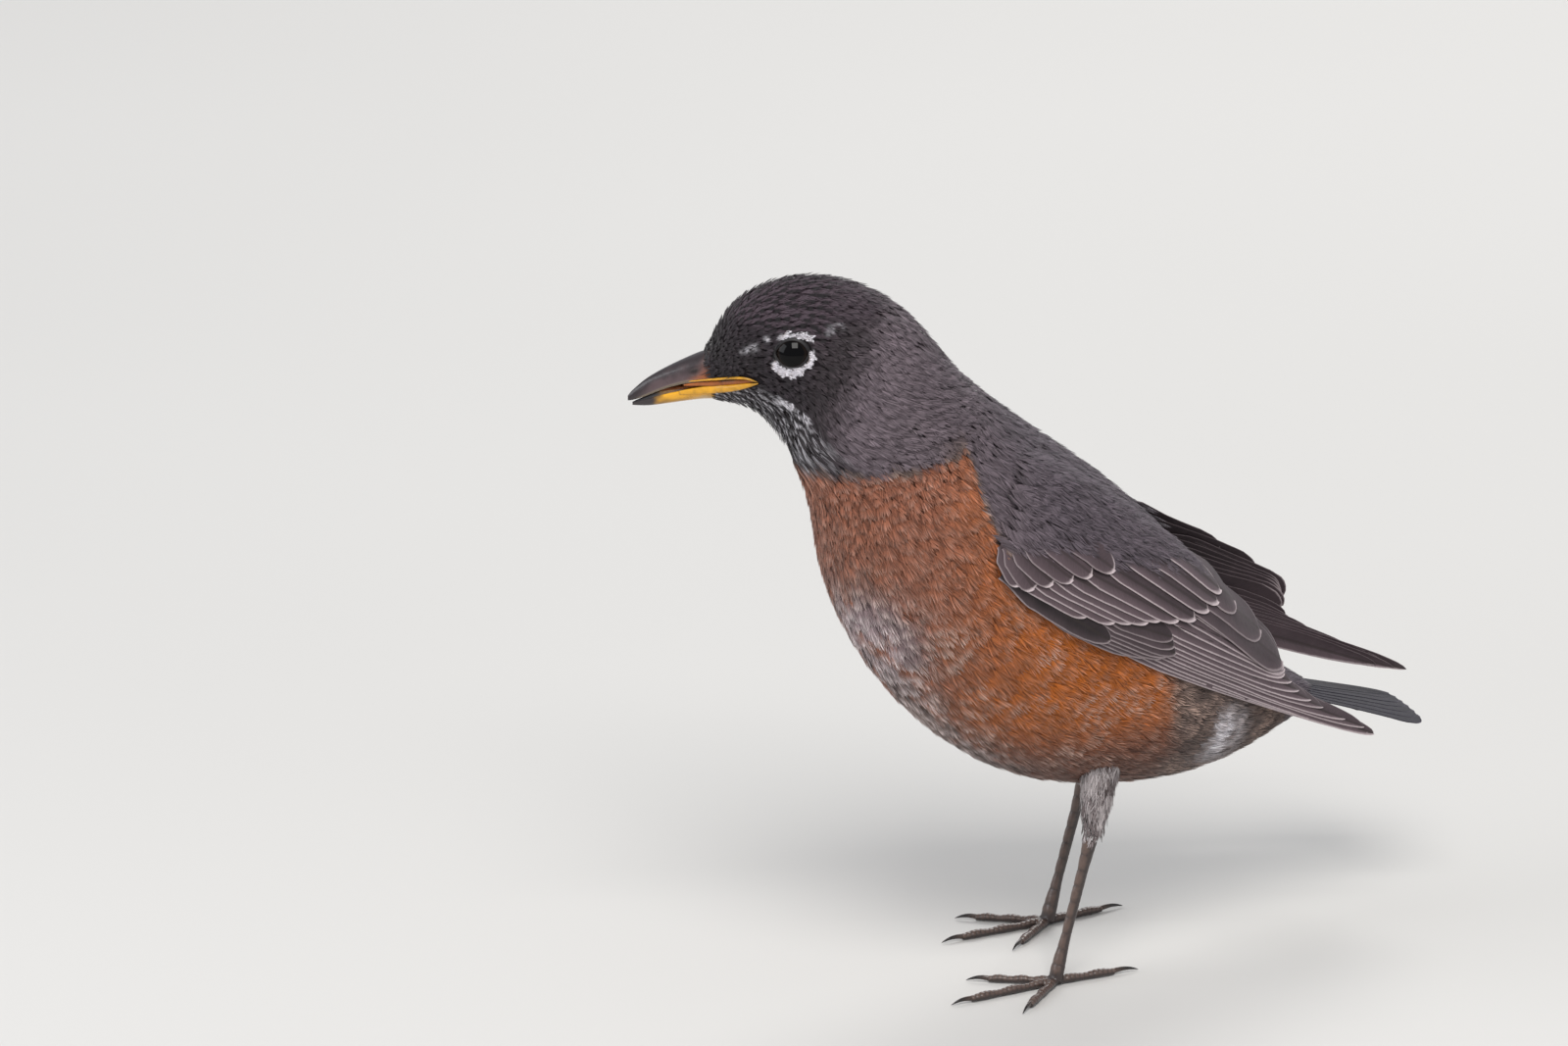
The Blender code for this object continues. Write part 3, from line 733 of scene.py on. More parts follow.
def grow(coat, sheet, flock, barbs, paint, draw, ward=None):
    """Adds soft feathers to a coat: each is a fan of tapering barbs along a shaft that lies on the sheet.

    flock holds arrays for each feather: u and v of its root, the turn of its lie, its length and width, the
    height of its root and of its tip over the sheet, and the width of its barbs.
    """
    count = len(flock["u"])
    if not count:
        return
    shape = (count, barbs)
    place = np.linspace(-1.0, 1.0, barbs) + draw.uniform(-0.7, 0.7, shape) / barbs
    place = np.clip(place, -1.0, 1.0)
    inward = 1.0 - np.abs(place)
    start = 0.06 + 0.62 * inward + draw.uniform(-0.04, 0.04, shape)
    end_x = 0.58 + 0.42 * np.sin(inward * math.pi / 2) + draw.uniform(-0.16, 0.08, shape)
    end_y = np.sign(place) * np.cos(inward * math.pi / 2) ** 0.85 * draw.uniform(0.85, 1.1, shape)
    bend_x = start + 0.5 * (end_x - start)
    start_y, bend_y = 0.3 * end_y, 0.82 * end_y
    each = {label: values[:, None, None] for label, values in flock.items()}
    length, half, t = each["length"], each["width"] / 2, BARB_ROWS
    x, slope_x = bent(start, bend_x, end_x, t)
    y, slope_y = bent(start_y, bend_y, end_y, t)
    slope_x, slope_y = slope_x * length, slope_y * half
    slope = np.maximum(np.hypot(slope_x, slope_y), 1e-6)
    rise = each["low"] + (each["high"] - each["low"]) * np.clip(x, 0, 1.1) ** 0.8
    rise = rise - 0.08 * half * y ** 2 + draw.uniform(-0.11, 0.11, shape)[..., None] * t
    roll = draw.uniform(-0.4, 0.4, shape)[..., None]
    reach = each["barb"] * BARB_TAPER * draw.uniform(0.75, 1.25, shape)[..., None] / 2
    edges = [
        np.stack([
            x * length - hand * reach * np.cos(roll) * slope_y / slope,
            y * half + hand * reach * np.cos(roll) * slope_x / slope,
            rise + hand * reach * np.sin(roll),
        ], -1)
        for hand in (-1.0, 1.0)
    ]
    ahead, aside, height = in_barbs(np.stack(edges, 3).reshape(count, barbs, -1, 3)).transpose(3, 0, 1, 2)
    stretch = sheet.read(sheet.stretch, flock["u"], flock["v"])[:, None, None]
    cosine, sine = np.cos(each["turn"]), np.sin(each["turn"])
    u = each["u"] + (ahead * cosine - aside * sine) / stretch[..., 0]
    v = each["v"] + (ahead * sine + aside * cosine) / stretch[..., 1]
    places = sheet.place(u, v, height)
    if ward is not None:
        places = ward(places)
    colours = in_barbs(np.repeat(paint(places, x, np.abs(y), draw), 2, axis=2))
    faces = BARB_FACES if sheet.hand > 0 else BARB_FACES[:, ::-1]
    faces = faces + BARB_POINTS * np.arange(count * barbs)[:, None, None]
    size = np.array(sheet.places.shape[:2]) * sheet.step
    root = np.stack([flock["u"] / size[0], (flock["v"] / size[1]) % 1.0], -1) * 0.98 + 0.01
    patch = in_barbs(np.repeat(np.stack([x - 0.5, y / 2], -1), 2, axis=2)) * PATCH + root[:, None, None]
    coat.add(places.reshape(-1, 3), faces.reshape(-1, 3), {"Plume": colours.reshape(-1, 3)},
             {"OFBake": patch.reshape(-1, 2)})


CROWD = 7.0  # tries for each root that finds room
ROOT_COLUMNS = 96


def scattered(sheet, first, last, gap, draw):
    """Roots spread evenly over a stretch of a sheet, no two closer than gap gives for their u."""
    size = sheet.places.shape[1] * sheet.step[1]
    spots = np.linspace(0.0, size, ROOT_COLUMNS)
    rows, columns = np.meshgrid(np.arange(first, last, 1.0), spots, indexing="ij")
    stretch = sheet.read(sheet.stretch, rows, columns, 1.0)
    weight = (stretch[..., 0] * stretch[..., 1] / gap(rows) ** 2).ravel()
    cell = size / (ROOT_COLUMNS - 1)
    count = int(CROWD * weight.sum() * cell)
    pick = draw.choice(weight.size, count, p=weight / weight.sum())
    u = rows.ravel()[pick] + draw.uniform(-0.5, 0.5, count)
    v = columns.ravel()[pick] + draw.uniform(-0.5, 0.5, count) * cell
    places = sheet.read(sheet.places, u, v)
    gaps = gap(u)
    box = float(gaps.max())
    taken, kept = {}, []
    for i, (place, least) in enumerate(zip(places.tolist(), gaps.tolist())):
        key = tuple(int(math.floor(value / box)) for value in place)
        near = (
            other
            for a in (-1, 0, 1) for b in (-1, 0, 1) for c in (-1, 0, 1)
            for other in taken.get((key[0] + a, key[1] + b, key[2] + c), ())
        )
        if all(math.dist(place, other) >= least for other in near):
            taken.setdefault(key, []).append(place)
            kept.append(i)
    return u[kept], v[kept]


FACE, NECK, TRUNK = 13.0, 46.0, 70.0  # places along the spine where the feathers change size


def sized(u, face, crown, neck, body):
    """A feather's measure, which grows from the face to the trunk."""
    return np.interp(u, (4.0, FACE, 0.6 * NECK, NECK, TRUNK), (face, crown, 0.5 * (crown + neck), neck, body))


def gap_at(u):
    """Least distance between the roots of the body feathers at u."""
    return sized(u, 0.56, 0.82, 0.88, 1.0) * measure("feather_gap")


def even_gap(gap):
    """The same least distance for every u."""
    return lambda u: np.full(np.shape(u), gap)


def flock_at(u, v, draw, scale=1.0):
    """Sizes, lie and depth of the feathers rooted at u and v."""
    count = len(u)
    turn = 0.09 * draw.normal(0.0, 1.0, count)
    length = sized(u, 0.3, 0.47, 0.7, 1.0) * measure("feather_length") * draw.uniform(0.88, 1.12, count)
    width = sized(u, 0.31, 0.5, 0.7, 1.0) * measure("feather_width") * draw.uniform(0.9, 1.1, count)
    high = draw.uniform(-0.22, 0.12, count) * sized(u, 0.5, 0.8, 1.0, 1.1)
    return {
        "u": u,
        "v": v,
        "turn": turn,
        "length": length * scale,
        "width": width * scale,
        "low": -sized(u, 0.45, 0.6, 0.75, 0.96) * measure("coat_depth"),
        "high": high + sized(u, 0.1, 0.35, 0.2, 0.0),
        "barb": sized(u, 0.8, 0.9, 0.95, 1.0) * measure("barb_width"),
    }


def chosen(flock, keep):
    """The feathers of a flock that are kept."""
    return {name: values[keep] for name, values in flock.items()}


def tips_of(sheet, flock):
    """Where the feathers' tips lie on the sheet."""
    stretch = sheet.read(sheet.stretch, flock["u"], flock["v"])
    u = flock["u"] + flock["length"] * np.cos(flock["turn"]) / stretch[:, 0]
    v = flock["v"] + flock["length"] * np.sin(flock["turn"]) / stretch[:, 1]
    return sheet.read(sheet.places, u, v)


def wing_shares(points):
    """The shares of length and height on the folded wing of each point's own side."""
    left, right = WINGS["left"].shares(points), WINGS["right"].shares(points)
    own = points[..., 1] < 0
    return np.where(own, left[0], right[0]), np.where(own, left[1], right[1])


def soft_edge(along):
    """The share of the wing's height down to which soft feathers cover its coverts' bases."""
    return np.interp(along, (0.0, 0.04, 0.097, 0.169, 0.233, 0.322, 0.386, 0.442, 0.55, 1.0),
                     (0.0, 0.1, 0.31, 0.47, 0.54, 0.62, 0.7, 0.86, 0.97, 1.1))


def rise_over_wings(tips, along, across):
    """How far over the mantle's sheet feathers must reach to lie on the folded wings."""
    rise = np.full(len(tips), -9.0)
    for name, side in SIDES:
        wing = WINGS[name]
        own = (tips[:, 1] * side < 0) & (along > 0.03) & (across < 1.0)
        spot = wing.spot(along[own], across[own])
        gap = wing.read(wing.places, *spot) - tips[own]
        rise[own] = (gap * wing.read(wing.normals, *spot)).sum(1) * ramp(across[own], 1.0, 0.9)
    return rise


def clear_of_eyes(places):
    """The places, moved out of the openings between the lids."""
    """The places, moved out of the openings between the lids."""
    clear = measure("eye_opening") + 0.3
    for name, _ in SIDES:
        offset = places - EYES[name] - EYE_SHIFT
        outward = offset @ GAZE[name]
        flat = offset - outward[..., None] * GAZE[name]
        upright = (flat @ upright_of(name)) * math.sqrt(EYE_FLATTEN ** -2 - 1.0)
        distance = np.hypot(np.linalg.norm(flat, axis=-1), upright)
        push = (outward > 0.5) & (distance < clear)
        moved = flat * (clear / np.maximum(distance, 1e-6))[..., None] - flat
        places = places + np.where(push[..., None], moved, 0.0)
    return places


# Lines from the mouth's corner to the bill, ahead of and above the point between the eyes
GAPE_LINES = (
    ((22.0, -6.8), (11.0, -4.4)), ((22.0, -7.4), (9.0, -5.6)), ((11.0, -4.4), (7.9, -6.0)),
    ((22.0, -8.0), (8.0, -6.1)), ((22.0, -9.6), (8.2, -6.5)),
)


def off_gape(points, reach):
    """True where points on the face are clear of the corners of the mouth."""
    ahead, up, left = head_axes(points)
    near = np.minimum.reduce([line_distance(ahead, up, *line) for line in GAPE_LINES])
    return (near > reach) | ((np.abs(left) < 2.0) & (np.abs(up + 6.5) > 3.0))


def barb_colours(spots, x, draw):
    """Colours of each barb's rows: downy at the root, its own colour, then its feather's fringe."""
    ground, fringe, amount = markings(spots)
    mood = draw.uniform(0.35, 1.35, (len(spots), 1, 1))
    light = draw.normal(1.0, 0.27, x.shape[:2]) * draw.normal(1.0, 0.06, (len(spots), 1))
    edge = np.clip(amount * mood, 0.0, 1.0) * ramp(x, 0.66, 0.95)
    root = 0.62 + 0.38 * ramp(x, 0.1, 0.5)
    colours = mixed(mixed(tone("down"), ground, root), fringe, edge)
    return np.clip(colours * np.clip(light, 0.4, 1.9)[..., None, None], 0.0, 1.0)


def paint_plumage(places, x, y, draw):
    """Body feathers: each barb takes the colour of the place of its tip."""
    return barb_colours(places[:, :, 6:], x, draw)


def paint_crown(places, x, y, draw):
    """Head feathers: coloured along each barb, with a dark drop down the middle of those of the crown."""
    spots = (places[:, :, (0, 2, 4, 6)] + places[:, :, (1, 3, 5, 6)]) / 2
    colours = barb_colours(spots, x, draw)
    ahead, up, _ = head_axes(places[:, :, 6])
    crown = ramp(up - 0.25 * ahead, 3.4, 6.2) * ramp(ahead + 0.3 * up, -11.0, -3.0)
    drop = ramp(y, 0.5, 0.25) * ramp(x, 0.4, 0.55) * ramp(x, 1.06, 0.9)
    colours = mixed(colours, tone("crown_edge") * 1.5, 0.75 * crown[:, :, None] * (1.0 - drop))
    return mixed(colours, tone("black") * 0.65, 0.95 * crown[:, :, None] * drop)


EYE_FRONT = 3.4  # from the middle of an eye to the middle of its opening
TAIL_BAND = 4.5  # half the width over which feathers lie on the root of the tail, above and below
OVER_WING = (0.05, 0.13)  # shares of a wing's length and height up to which the body's feathers lie on it
SHOULDER = (0.02, 0.12)  # shares of its length: roots ahead of the first may reach to the second
BREAST_END = -14.0
HEAD_END = 0.55 * NECK  # along the spine
NECK_END = NECK + 6.0


def lay_body():
    """Every soft feather's root on the body, sorted into flocks by the part of the bird they cover."""
    draw = draws("body roots")
    u, v = scattered(BODY, -1.5, BODY_LENGTH - 17.0, gap_at, draw)
    flock = flock_at(u, v, draw)
    roots, tips = BODY.read(BODY.places, u, v), tips_of(BODY, flock)
    along, across = wing_shares(tips)
    off_wing = (along < OVER_WING[0]) | (across < OVER_WING[1])
    off_wing |= (wing_shares(roots)[0] < SHOULDER[0]) & (along < SHOULDER[1])
    on_rump = (roots[:, 0] > RUMP_START) & (np.abs(roots[:, 1]) < RUMP_SIDE)
    below = BODY.read(BODY.normals, u, v)[:, 2] < -0.35
    on_tail = (np.abs(tips[:, 1]) < TAIL_BAND) & ((tips[:, 0] < TAIL_ROOT) | below)
    keep = (off_wing | on_rump) & ((tips[:, 0] < TAIL_ROOT - 3.0) | on_tail)
    fronts = [EYES[name] + EYE_SHIFT + EYE_FRONT * GAZE[name] for name, _ in SIDES]
    eyes = np.min([np.linalg.norm(roots - front, axis=1) for front in fronts], axis=0)
    keep &= (eyes > measure("eye_opening") - 0.1) & off_gape(roots, 0.5) & off_gape(tips, 0.45)
    flock, roots = chosen(flock, keep), roots[keep]
    behind_neck = flock["u"] >= NECK_END
    parts = {
        "head": flock["u"] < HEAD_END,
        "neck": (flock["u"] >= HEAD_END) & ~behind_neck,
        "breast": behind_neck & (roots[:, 0] < BREAST_END),
        "belly": behind_neck & (roots[:, 0] >= BREAST_END),
    }
    return {name: chosen(flock, where) for name, where in parts.items()}


def lay_eye_arcs():
    """Small white feathers in the arcs round the eyes, over the coat."""
    draw = draws("arc roots")
    u, v = scattered(BODY, 7.0, 27.0, even_gap(0.34), draw)
    roots = BODY.read(BODY.places, u, v)
    ahead, up, left = head_axes(roots)
    keep = (eye_arcs(ahead - 0.5, up + 0.1, noise(roots, 0.8) - 0.5) > 0.4) & (np.abs(left) > 5.0)
    u, v = u[keep], v[keep]
    count = len(u)
    return {
        "u": u, "v": v, "turn": draw.normal(0.0, 0.22, count), "length": draw.uniform(0.9, 1.5, count),
        "width": draw.uniform(0.5, 0.75, count), "low": np.full(count, -0.1),
        "high": draw.uniform(0.2, 0.45, count), "barb": np.full(count, 0.1),
    }


def paint_white(places, x, y, draw):
    """White barbs with a little grey at the root."""
    light = np.clip(draw.normal(1.0, 0.16, x.shape[:2])[..., None, None], 0.6, 1.25)
    return np.clip(mixed(tone("fringe") * 0.8, tone("white"), ramp(x, 0.0, 0.4)) * light, 0.0, 1.0)


MOST_RISE = 1.3  # over the mantle's sheet, where its feathers lie on the wings


def lay_mantle():
    """Roots of the soft feathers of the back, the rump and the front of the folded wings."""
    draw = draws("mantle roots")
    u, v = scattered(MANTLE, NECK - 14.0, BODY_LENGTH - 20.0, gap_at, draw)
    flock = flock_at(u, v, draw, 0.86)
    tips = tips_of(MANTLE, flock)
    along, across = wing_shares(tips)
    rise = np.minimum(rise_over_wings(tips, along, across), MOST_RISE) + draw.uniform(0.55, 0.9, len(u))
    flock["high"] = np.maximum(flock["high"] + 0.1, rise)
    keep = (along >= 0.045) & (across > soft_edge(along) - draw.uniform(-0.03, 0.05, len(u)))
    return chosen(flock, keep & (tips[:, 0] < RUMP_START + 16.0))


# ---- materials

def shader_group(name, inputs, outputs):
    """A shader node group with these sockets, and the sockets inside it that give and take its values."""
    tree = bpy.data.node_groups.new(name, "ShaderNodeTree")
    for label, kind, value in inputs:
        socket = tree.interface.new_socket(name=label, in_out="INPUT", socket_type="NodeSocket" + kind)
        socket.default_value = value
    for label in outputs:
        kind = "NodeSocketColor" if label == "Colour" else "NodeSocketFloat"
        tree.interface.new_socket(name=label, in_out="OUTPUT", socket_type=kind)
    return tree, tree.nodes.new("NodeGroupInput").outputs, tree.nodes.new("NodeGroupOutput").inputs


class Wiring:
    """Short ways to add nodes to a tree."""

    def __init__(self, tree):
        self.tree = tree

    def node(self, kind, inputs=(), **settings):
        """A node with values or links for its inputs, and its other settings."""
        made = self.tree.nodes.new("ShaderNode" + kind)
        for key, value in settings.items():
            setattr(made, key, value)
        for key, value in dict(inputs).items():
            self.give(made.inputs[key], value)
        return made

    def give(self, socket, value):
        """Links a socket to another one, or sets its value."""
        if isinstance(value, bpy.types.NodeSocket):
            self.tree.links.new(value, socket)
        else:
            socket.default_value = value

    def maths(self, operation, *values):
        """The result of a Math node."""
        return self.node("Math", dict(enumerate(values)), operation=operation).outputs[0]

    def plus(self, *values):
        """The sum of two values."""
        return self.maths("ADD", *values)

    def times(self, *values):
        """The product of two values."""
        return self.maths("MULTIPLY", *values)

    def between(self, value, start, end):
        """0 to 1 as the value goes from start to end."""
        return self.node("MapRange", {0: value, 1: start, 2: end}, interpolation_type="SMOOTHSTEP").outputs[0]

    def blend(self, share, low, high):
        """A colour this share of the way from low to high."""
        return self.node("Mix", {0: share, 6: low, 7: high}, data_type="RGBA").outputs[2]

    def scaled(self, colour, gain):
        """A colour made lighter or darker."""
        return self.node("VectorMath", {0: colour, 3: gain}, operation="SCALE").outputs[0]

    def noise(self, spot, scale, detail):
        """Soft noise over a vector."""
        return self.node("TexNoise", {"Vector": spot, "Scale": scale, "Detail": detail}).outputs["Fac"]

    def own_place(self):
        """The place on the piece, in metres."""
        return self.node("TexCoord").outputs["Object"]

    def attribute(self, label):
        """A vertex colour of the piece."""
        return self.node("Attribute", attribute_name=label).outputs["Color"]

    def channels(self, label):
        """The three values that a vertex colour of the piece holds."""
        return self.node("SeparateColor", {0: self.attribute(label)}).outputs


def mottle_group(name):
    """Fine and broad variation of a colour over Object coordinates, with a height for a bump."""
    inputs = [
        ("Colour", "Color", (0.5, 0.5, 0.5, 1.0)), ("Grain", "Float", 900.0), ("Patches", "Float", 120.0),
        ("Strength", "Float", 0.3), ("Roughness", "Float", 0.8),
    ]
    tree, given, out = shader_group(name, inputs, ("Colour", "Roughness", "Height"))
    wire = Wiring(tree)
    spot = wire.own_place()
    fine = wire.noise(spot, given["Grain"], 3.0)
    broad = wire.noise(spot, given["Patches"], 2.0)
    mixed_up = wire.plus(wire.times(fine, 0.6), wire.times(broad, 0.4))
    swing = wire.times(wire.maths("SUBTRACT", mixed_up, 0.5), given["Strength"])
    gain = wire.plus(wire.times(swing, 2.0), 1.0)
    wire.give(out["Colour"], wire.scaled(given["Colour"], gain))
    wire.give(out["Roughness"], wire.plus(given["Roughness"], swing))
    wire.give(out["Height"], fine)
    return tree


def new_material(name, slot_colour, roughness, specular=0.5, coat=0.0, sheen=0.0):
    """A material with its Principled shader and a Wiring for its nodes."""
    material = bpy.data.materials.new(name)
    material.use_nodes = True
    material.diffuse_color = (*slot_colour, 1.0)
    shader = material.node_tree.nodes["Principled BSDF"].inputs
    shader["Base Color"].default_value = (*slot_colour, 1.0)
    shader["Roughness"].default_value = roughness
    shader["Specular IOR Level"].default_value = specular
    shader["Coat Weight"].default_value = coat
    shader["Sheen Weight"].default_value = sheen
    return material, shader, Wiring(material.node_tree)


def surfaced(shader, wire, name, build, values, bump, distance):
    """Feeds a shader's colour, roughness and relief from a shared node group with these values."""
    tree = bpy.data.node_groups.get(name) or build(name)
    look = wire.node("Group", node_tree=tree)
    for socket, value in values.items():
        wire.give(look.inputs[socket], value)
    wire.give(shader["Base Color"], look.outputs["Colour"])
    wire.give(shader["Roughness"], look.outputs["Roughness"])
    relief = wire.node("Bump", {"Height": look.outputs["Height"], "Strength": bump, "Distance": distance})
    wire.give(shader["Normal"], relief.outputs["Normal"])


def made_once(build):
    """A builder of materials that gives back the one it already made under a name."""
    return lambda name, *values, **finish: bpy.data.materials.get(name) or build(name, *values, **finish)


@made_once
def mottled_material(name, attribute, base, roughness, grain, patches, strength, bump=0.3, **finish):
    """A material coloured by a mesh attribute and broken up by the mottle group."""
    material, shader, wire = new_material(name, base, roughness, **finish)
    values = {"Colour": wire.attribute(attribute), "Grain": grain, "Patches": patches, "Strength": strength,
              "Roughness": roughness}
    surfaced(shader, wire, "Plumage_Mottle", mottle_group, values, bump, 0.0002)
    return material


def plume_material():
    """The soft feathers' material."""
    return mottled_material("Soft plumage", "Plume", (0.2, 0.15, 0.13), 0.72, 1400.0, 160.0, 0.22,
                            bump=0.15, specular=0.25, sheen=0.15)


def skin_material():
    """The material of the skin under the coat."""
    return mottled_material("Skin", "Plume", (0.12, 0.1, 0.1), 0.85, 900.0, 200.0, 0.4, specular=0.2)


def horn_material(name="Bill horn", roughness=0.3, coat=0.25):
    """The material of the bill, the mouth, the lids, the scales or the claws."""
    return mottled_material(name, "Horn", tuple(tone("horn_dark")), roughness, 1500.0, 400.0, 0.22,
                            bump=0.25, specular=0.5, coat=coat)


MOST_TRIANGLES = 200000  # of one piece


def finished(piece, material, nodes=()):
    """Gives a finished piece its material, its body and the solids that it stands for."""
    triangles = len(piece.data.loops) - 2 * len(piece.data.polygons)
    if not 0 < triangles < MOST_TRIANGLES:
        raise RuntimeError(f"{piece.name} came out with {triangles} triangles")
    piece.data.materials.append(material)
    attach(piece, "root")
    if nodes:
        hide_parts(*nodes)
    return piece


# ---- skin

FLESH = ("head", "neck", "trunk", "leg_left_tibia", "leg_right_tibia")
SKIN_SHADE = 0.55  # the skin is this much of the markings' colour, in the shadow of the coat
# the thighs' skin is this much of the thigh's grey, as painted shade under the coat
THIGH_SHADE = 0.6
THIGH_TOP, THIGH_START = 44.0, 40.0  # heights between which the trunk's colour gives way to the thigh's


def coat_depth(points):
    """How deep the skin lies under the coat, which is shallow on the face and deep on the breast."""
    ahead = head_axes(points)[0]
    depth = mixed_number(0.48, 1.0, ramp(ahead, 2.0, -34.0)) * measure("coat_depth")
    return depth * mixed_number(0.6, 1.0, ramp(points[..., 2], 41.0, 50.0))


def make_skin():
    """One skin for the head, neck, trunk and thighs, under the coat and with the same markings."""
    bm = joined_copy(FLESH, BODY_VOXEL, 4)
    places = np.array([vert.co for vert in bm.verts]) / MM
    normals = np.array([vert.normal for vert in bm.verts])
    inside = places - normals * coat_depth(places)[:, None]
    for vert, place in zip(bm.verts, inside):
        vert.co = Vector(place) * MM
    bmesh.ops.smooth_vert(bm, verts=bm.verts, factor=0.5, use_axis_x=True, use_axis_y=True, use_axis_z=True)
    thigh = ramp(places[:, 2], THIGH_TOP, THIGH_START)
    ground = mixed(markings(places)[0] * SKIN_SHADE, tone("thigh_grey") * THIGH_SHADE, thigh)
    skin = object_from(bm, "skin")
    tinted(skin.data, "Plume", ground)
    return finished(skin, skin_material(), FLESH)


def plumage_piece(name, grown):
    """One coat piece: grown is a list of sheet, flock, paint, and the names of its barbs and its draws."""
    coat = Coat()
    for sheet, flock, paint, barbs, seed in grown:
        grow(coat, sheet, flock, BARBS[barbs], paint, draws(seed), clear_of_eyes)
    return finished(coat.build(name), plume_material())


# ---- stiff feathers

VANE_ROWS = np.array((0.0, 0.06, 0.12, 0.18, 0.25, 0.32, 0.4, 0.5, 0.6, 0.69, 0.77, 0.82, 0.86, 0.9, 0.93,
                      0.955, 0.975, 0.99, 0.998, 1.0))
VANE_COLUMNS = np.array((-1.0, -0.95, -0.86, -0.7, -0.4, -0.12, 0.0, 0.12, 0.4, 0.7, 0.86, 0.95, 1.0))
WIDEST_MARGIN = 4.0  # way in from a vane's edge that its Web colour can hold
VANE_MAP = 100.0  # mm to one unit of the Vane map


def vane_faces():
    """Triangles of one closed vane: its outer face, its inner face and the rim between them."""
    rows, columns = len(VANE_ROWS), len(VANE_COLUMNS)
    index = np.arange(rows * columns).reshape(rows, columns)
    a, b, c, d = index[:-1, :-1], index[1:, :-1], index[1:, 1:], index[:-1, 1:]
    outer = np.concatenate([np.stack([a, b, c], -1).reshape(-1, 3), np.stack([a, c, d], -1).reshape(-1, 3)])
    rim = np.concatenate([index[:, 0], index[-1, 1:], index[-2::-1, -1], index[0, -2:0:-1]])
    after = np.roll(rim, -1)
    under = rows * columns
    sides = np.concatenate([
        np.stack([rim, rim + under, after + under], -1), np.stack([rim, after + under, after], -1)
    ])
    return np.concatenate([outer, outer[:, ::-1] + under, sides])


def grow_vanes(coat, sheet, quills, draw):
    """Adds stiff feathers that lie on a sheet.

    quills holds arrays for each feather: base and tip (u, v), half widths of its lower and upper web, the
    height of its shaft over the sheet, how much the lower web stands over the upper one, how far its base is
    tucked under, the share of its length where its end starts to round, its bow and its tints: (edge, tip,
    light). cover is the line across the wing ahead of which the feathers over the row hide it.
    """
    base, tip = quills["base"], quills["tip"]
    count = len(base)
    way = tip - base
    length = np.linalg.norm(way, axis=1)
    way = way / length[:, None]
    side = np.stack([-way[:, 1], way[:, 0]], -1)
    each = {label: values[:, None, None] for label, values in quills.items() if label != "cover"}
    t, c = VANE_ROWS[None, :, None], VANE_COLUMNS[None, None, :]
    rounding = np.clip((t - each["round"]) / (1 - each["round"]), 0.0, 1.0)
    swell = (0.35 + 0.65 * ramp(t, 0.0, 0.35)) * np.sqrt(np.clip(1.0 - rounding ** 2.4, 0.0006, 1.0))
    web = np.where(c < 0, each["lower"], each["upper"]) * swell
    ragged = draw.normal(0.0, 1.0, (count, len(VANE_ROWS), 1)) * (np.abs(c) > 0.8) * (t > 0.3) * (t < 0.97)
    along = t * length[:, None, None] - 0.25 * np.abs(c) * web * ramp(t, 1.0, 0.75)
    across = c * web * (1.0 + 0.012 * ragged) + each["bow"] * 4 * t * (1 - t)
    shaft = np.exp(-(c / 0.1) ** 2) * (1.0 - t) * 0.22
    lift = each["height"] - each["tilt"] * c
    lift = lift + 0.12 * web / 4 * (1 - c ** 2) + shaft + 0.015 * draw.normal(0.0, 1.0, (count, 1, 1))
    spot = base[:, None, None] + along[..., None] * way[:, None, None]
    spot = spot + across[..., None] * side[:, None, None]
    u, v = spot[..., 0], spot[..., 1]
    if quills.get("cover"):
        hidden = ramp(sheet.ahead_of(u, v, quills["cover"]), -0.015, 0.09)
    else:
        hidden = ramp(t, 0.6, 0.05)
    lift = lift - each["tuck"] * hidden
    outer = sheet.place(u, v, lift)
    inner = sheet.place(u, v, lift - measure("vane_thickness"))
    shape = u.shape
    t_all = np.broadcast_to(t, shape)
    margin = np.minimum((1 - np.abs(c)) * web, (1 - t) * length[:, None, None] * 0.9)
    margin = np.clip(margin / WIDEST_MARGIN, 0.0, 1.0)
    hue = np.stack([margin, t_all, np.broadcast_to(c * 0.5 + 0.5, shape)], -1)
    tint = np.broadcast_to(each["tint"], shape + (3,))
    spread = np.stack([along, across], -1) / VANE_MAP
    faces = vane_faces()
    if sheet.hand < 0:
        faces = faces[:, ::-1]
    size = len(VANE_ROWS) * len(VANE_COLUMNS)
    faces = faces + (2 * size * np.arange(count))[:, None, None]
    both = np.stack([outer.reshape(count, size, 3), inner.reshape(count, size, 3)], 1).reshape(-1, 3)
    hue, tint, spread = (
        np.repeat(values.reshape(count, 1, size, -1), 2, 1).reshape(count * 2 * size, -1)
        for values in (hue, tint, spread)
    )
    slots = math.ceil(math.sqrt(count / 4.0))
    cell = np.array((1.0 / slots, 1.0 / math.ceil(count / slots)))
    corner = np.stack([np.arange(count) % slots, np.arange(count) // slots], -1) * cell
    local = np.stack([t_all, np.broadcast_to(c * 0.25 + 0.25, shape)], -1)
    patch = np.stack([local, local + (0.0, 0.5)], 1).reshape(count, 2 * size, 2)
    patch = (corner[:, None] + (0.03 + 0.94 * patch) * cell).reshape(-1, 2)
    coat.add(both, faces.reshape(-1, 3), {"Web": hue, "Tint": tint}, {"OFBake": patch, "Vane": spread})


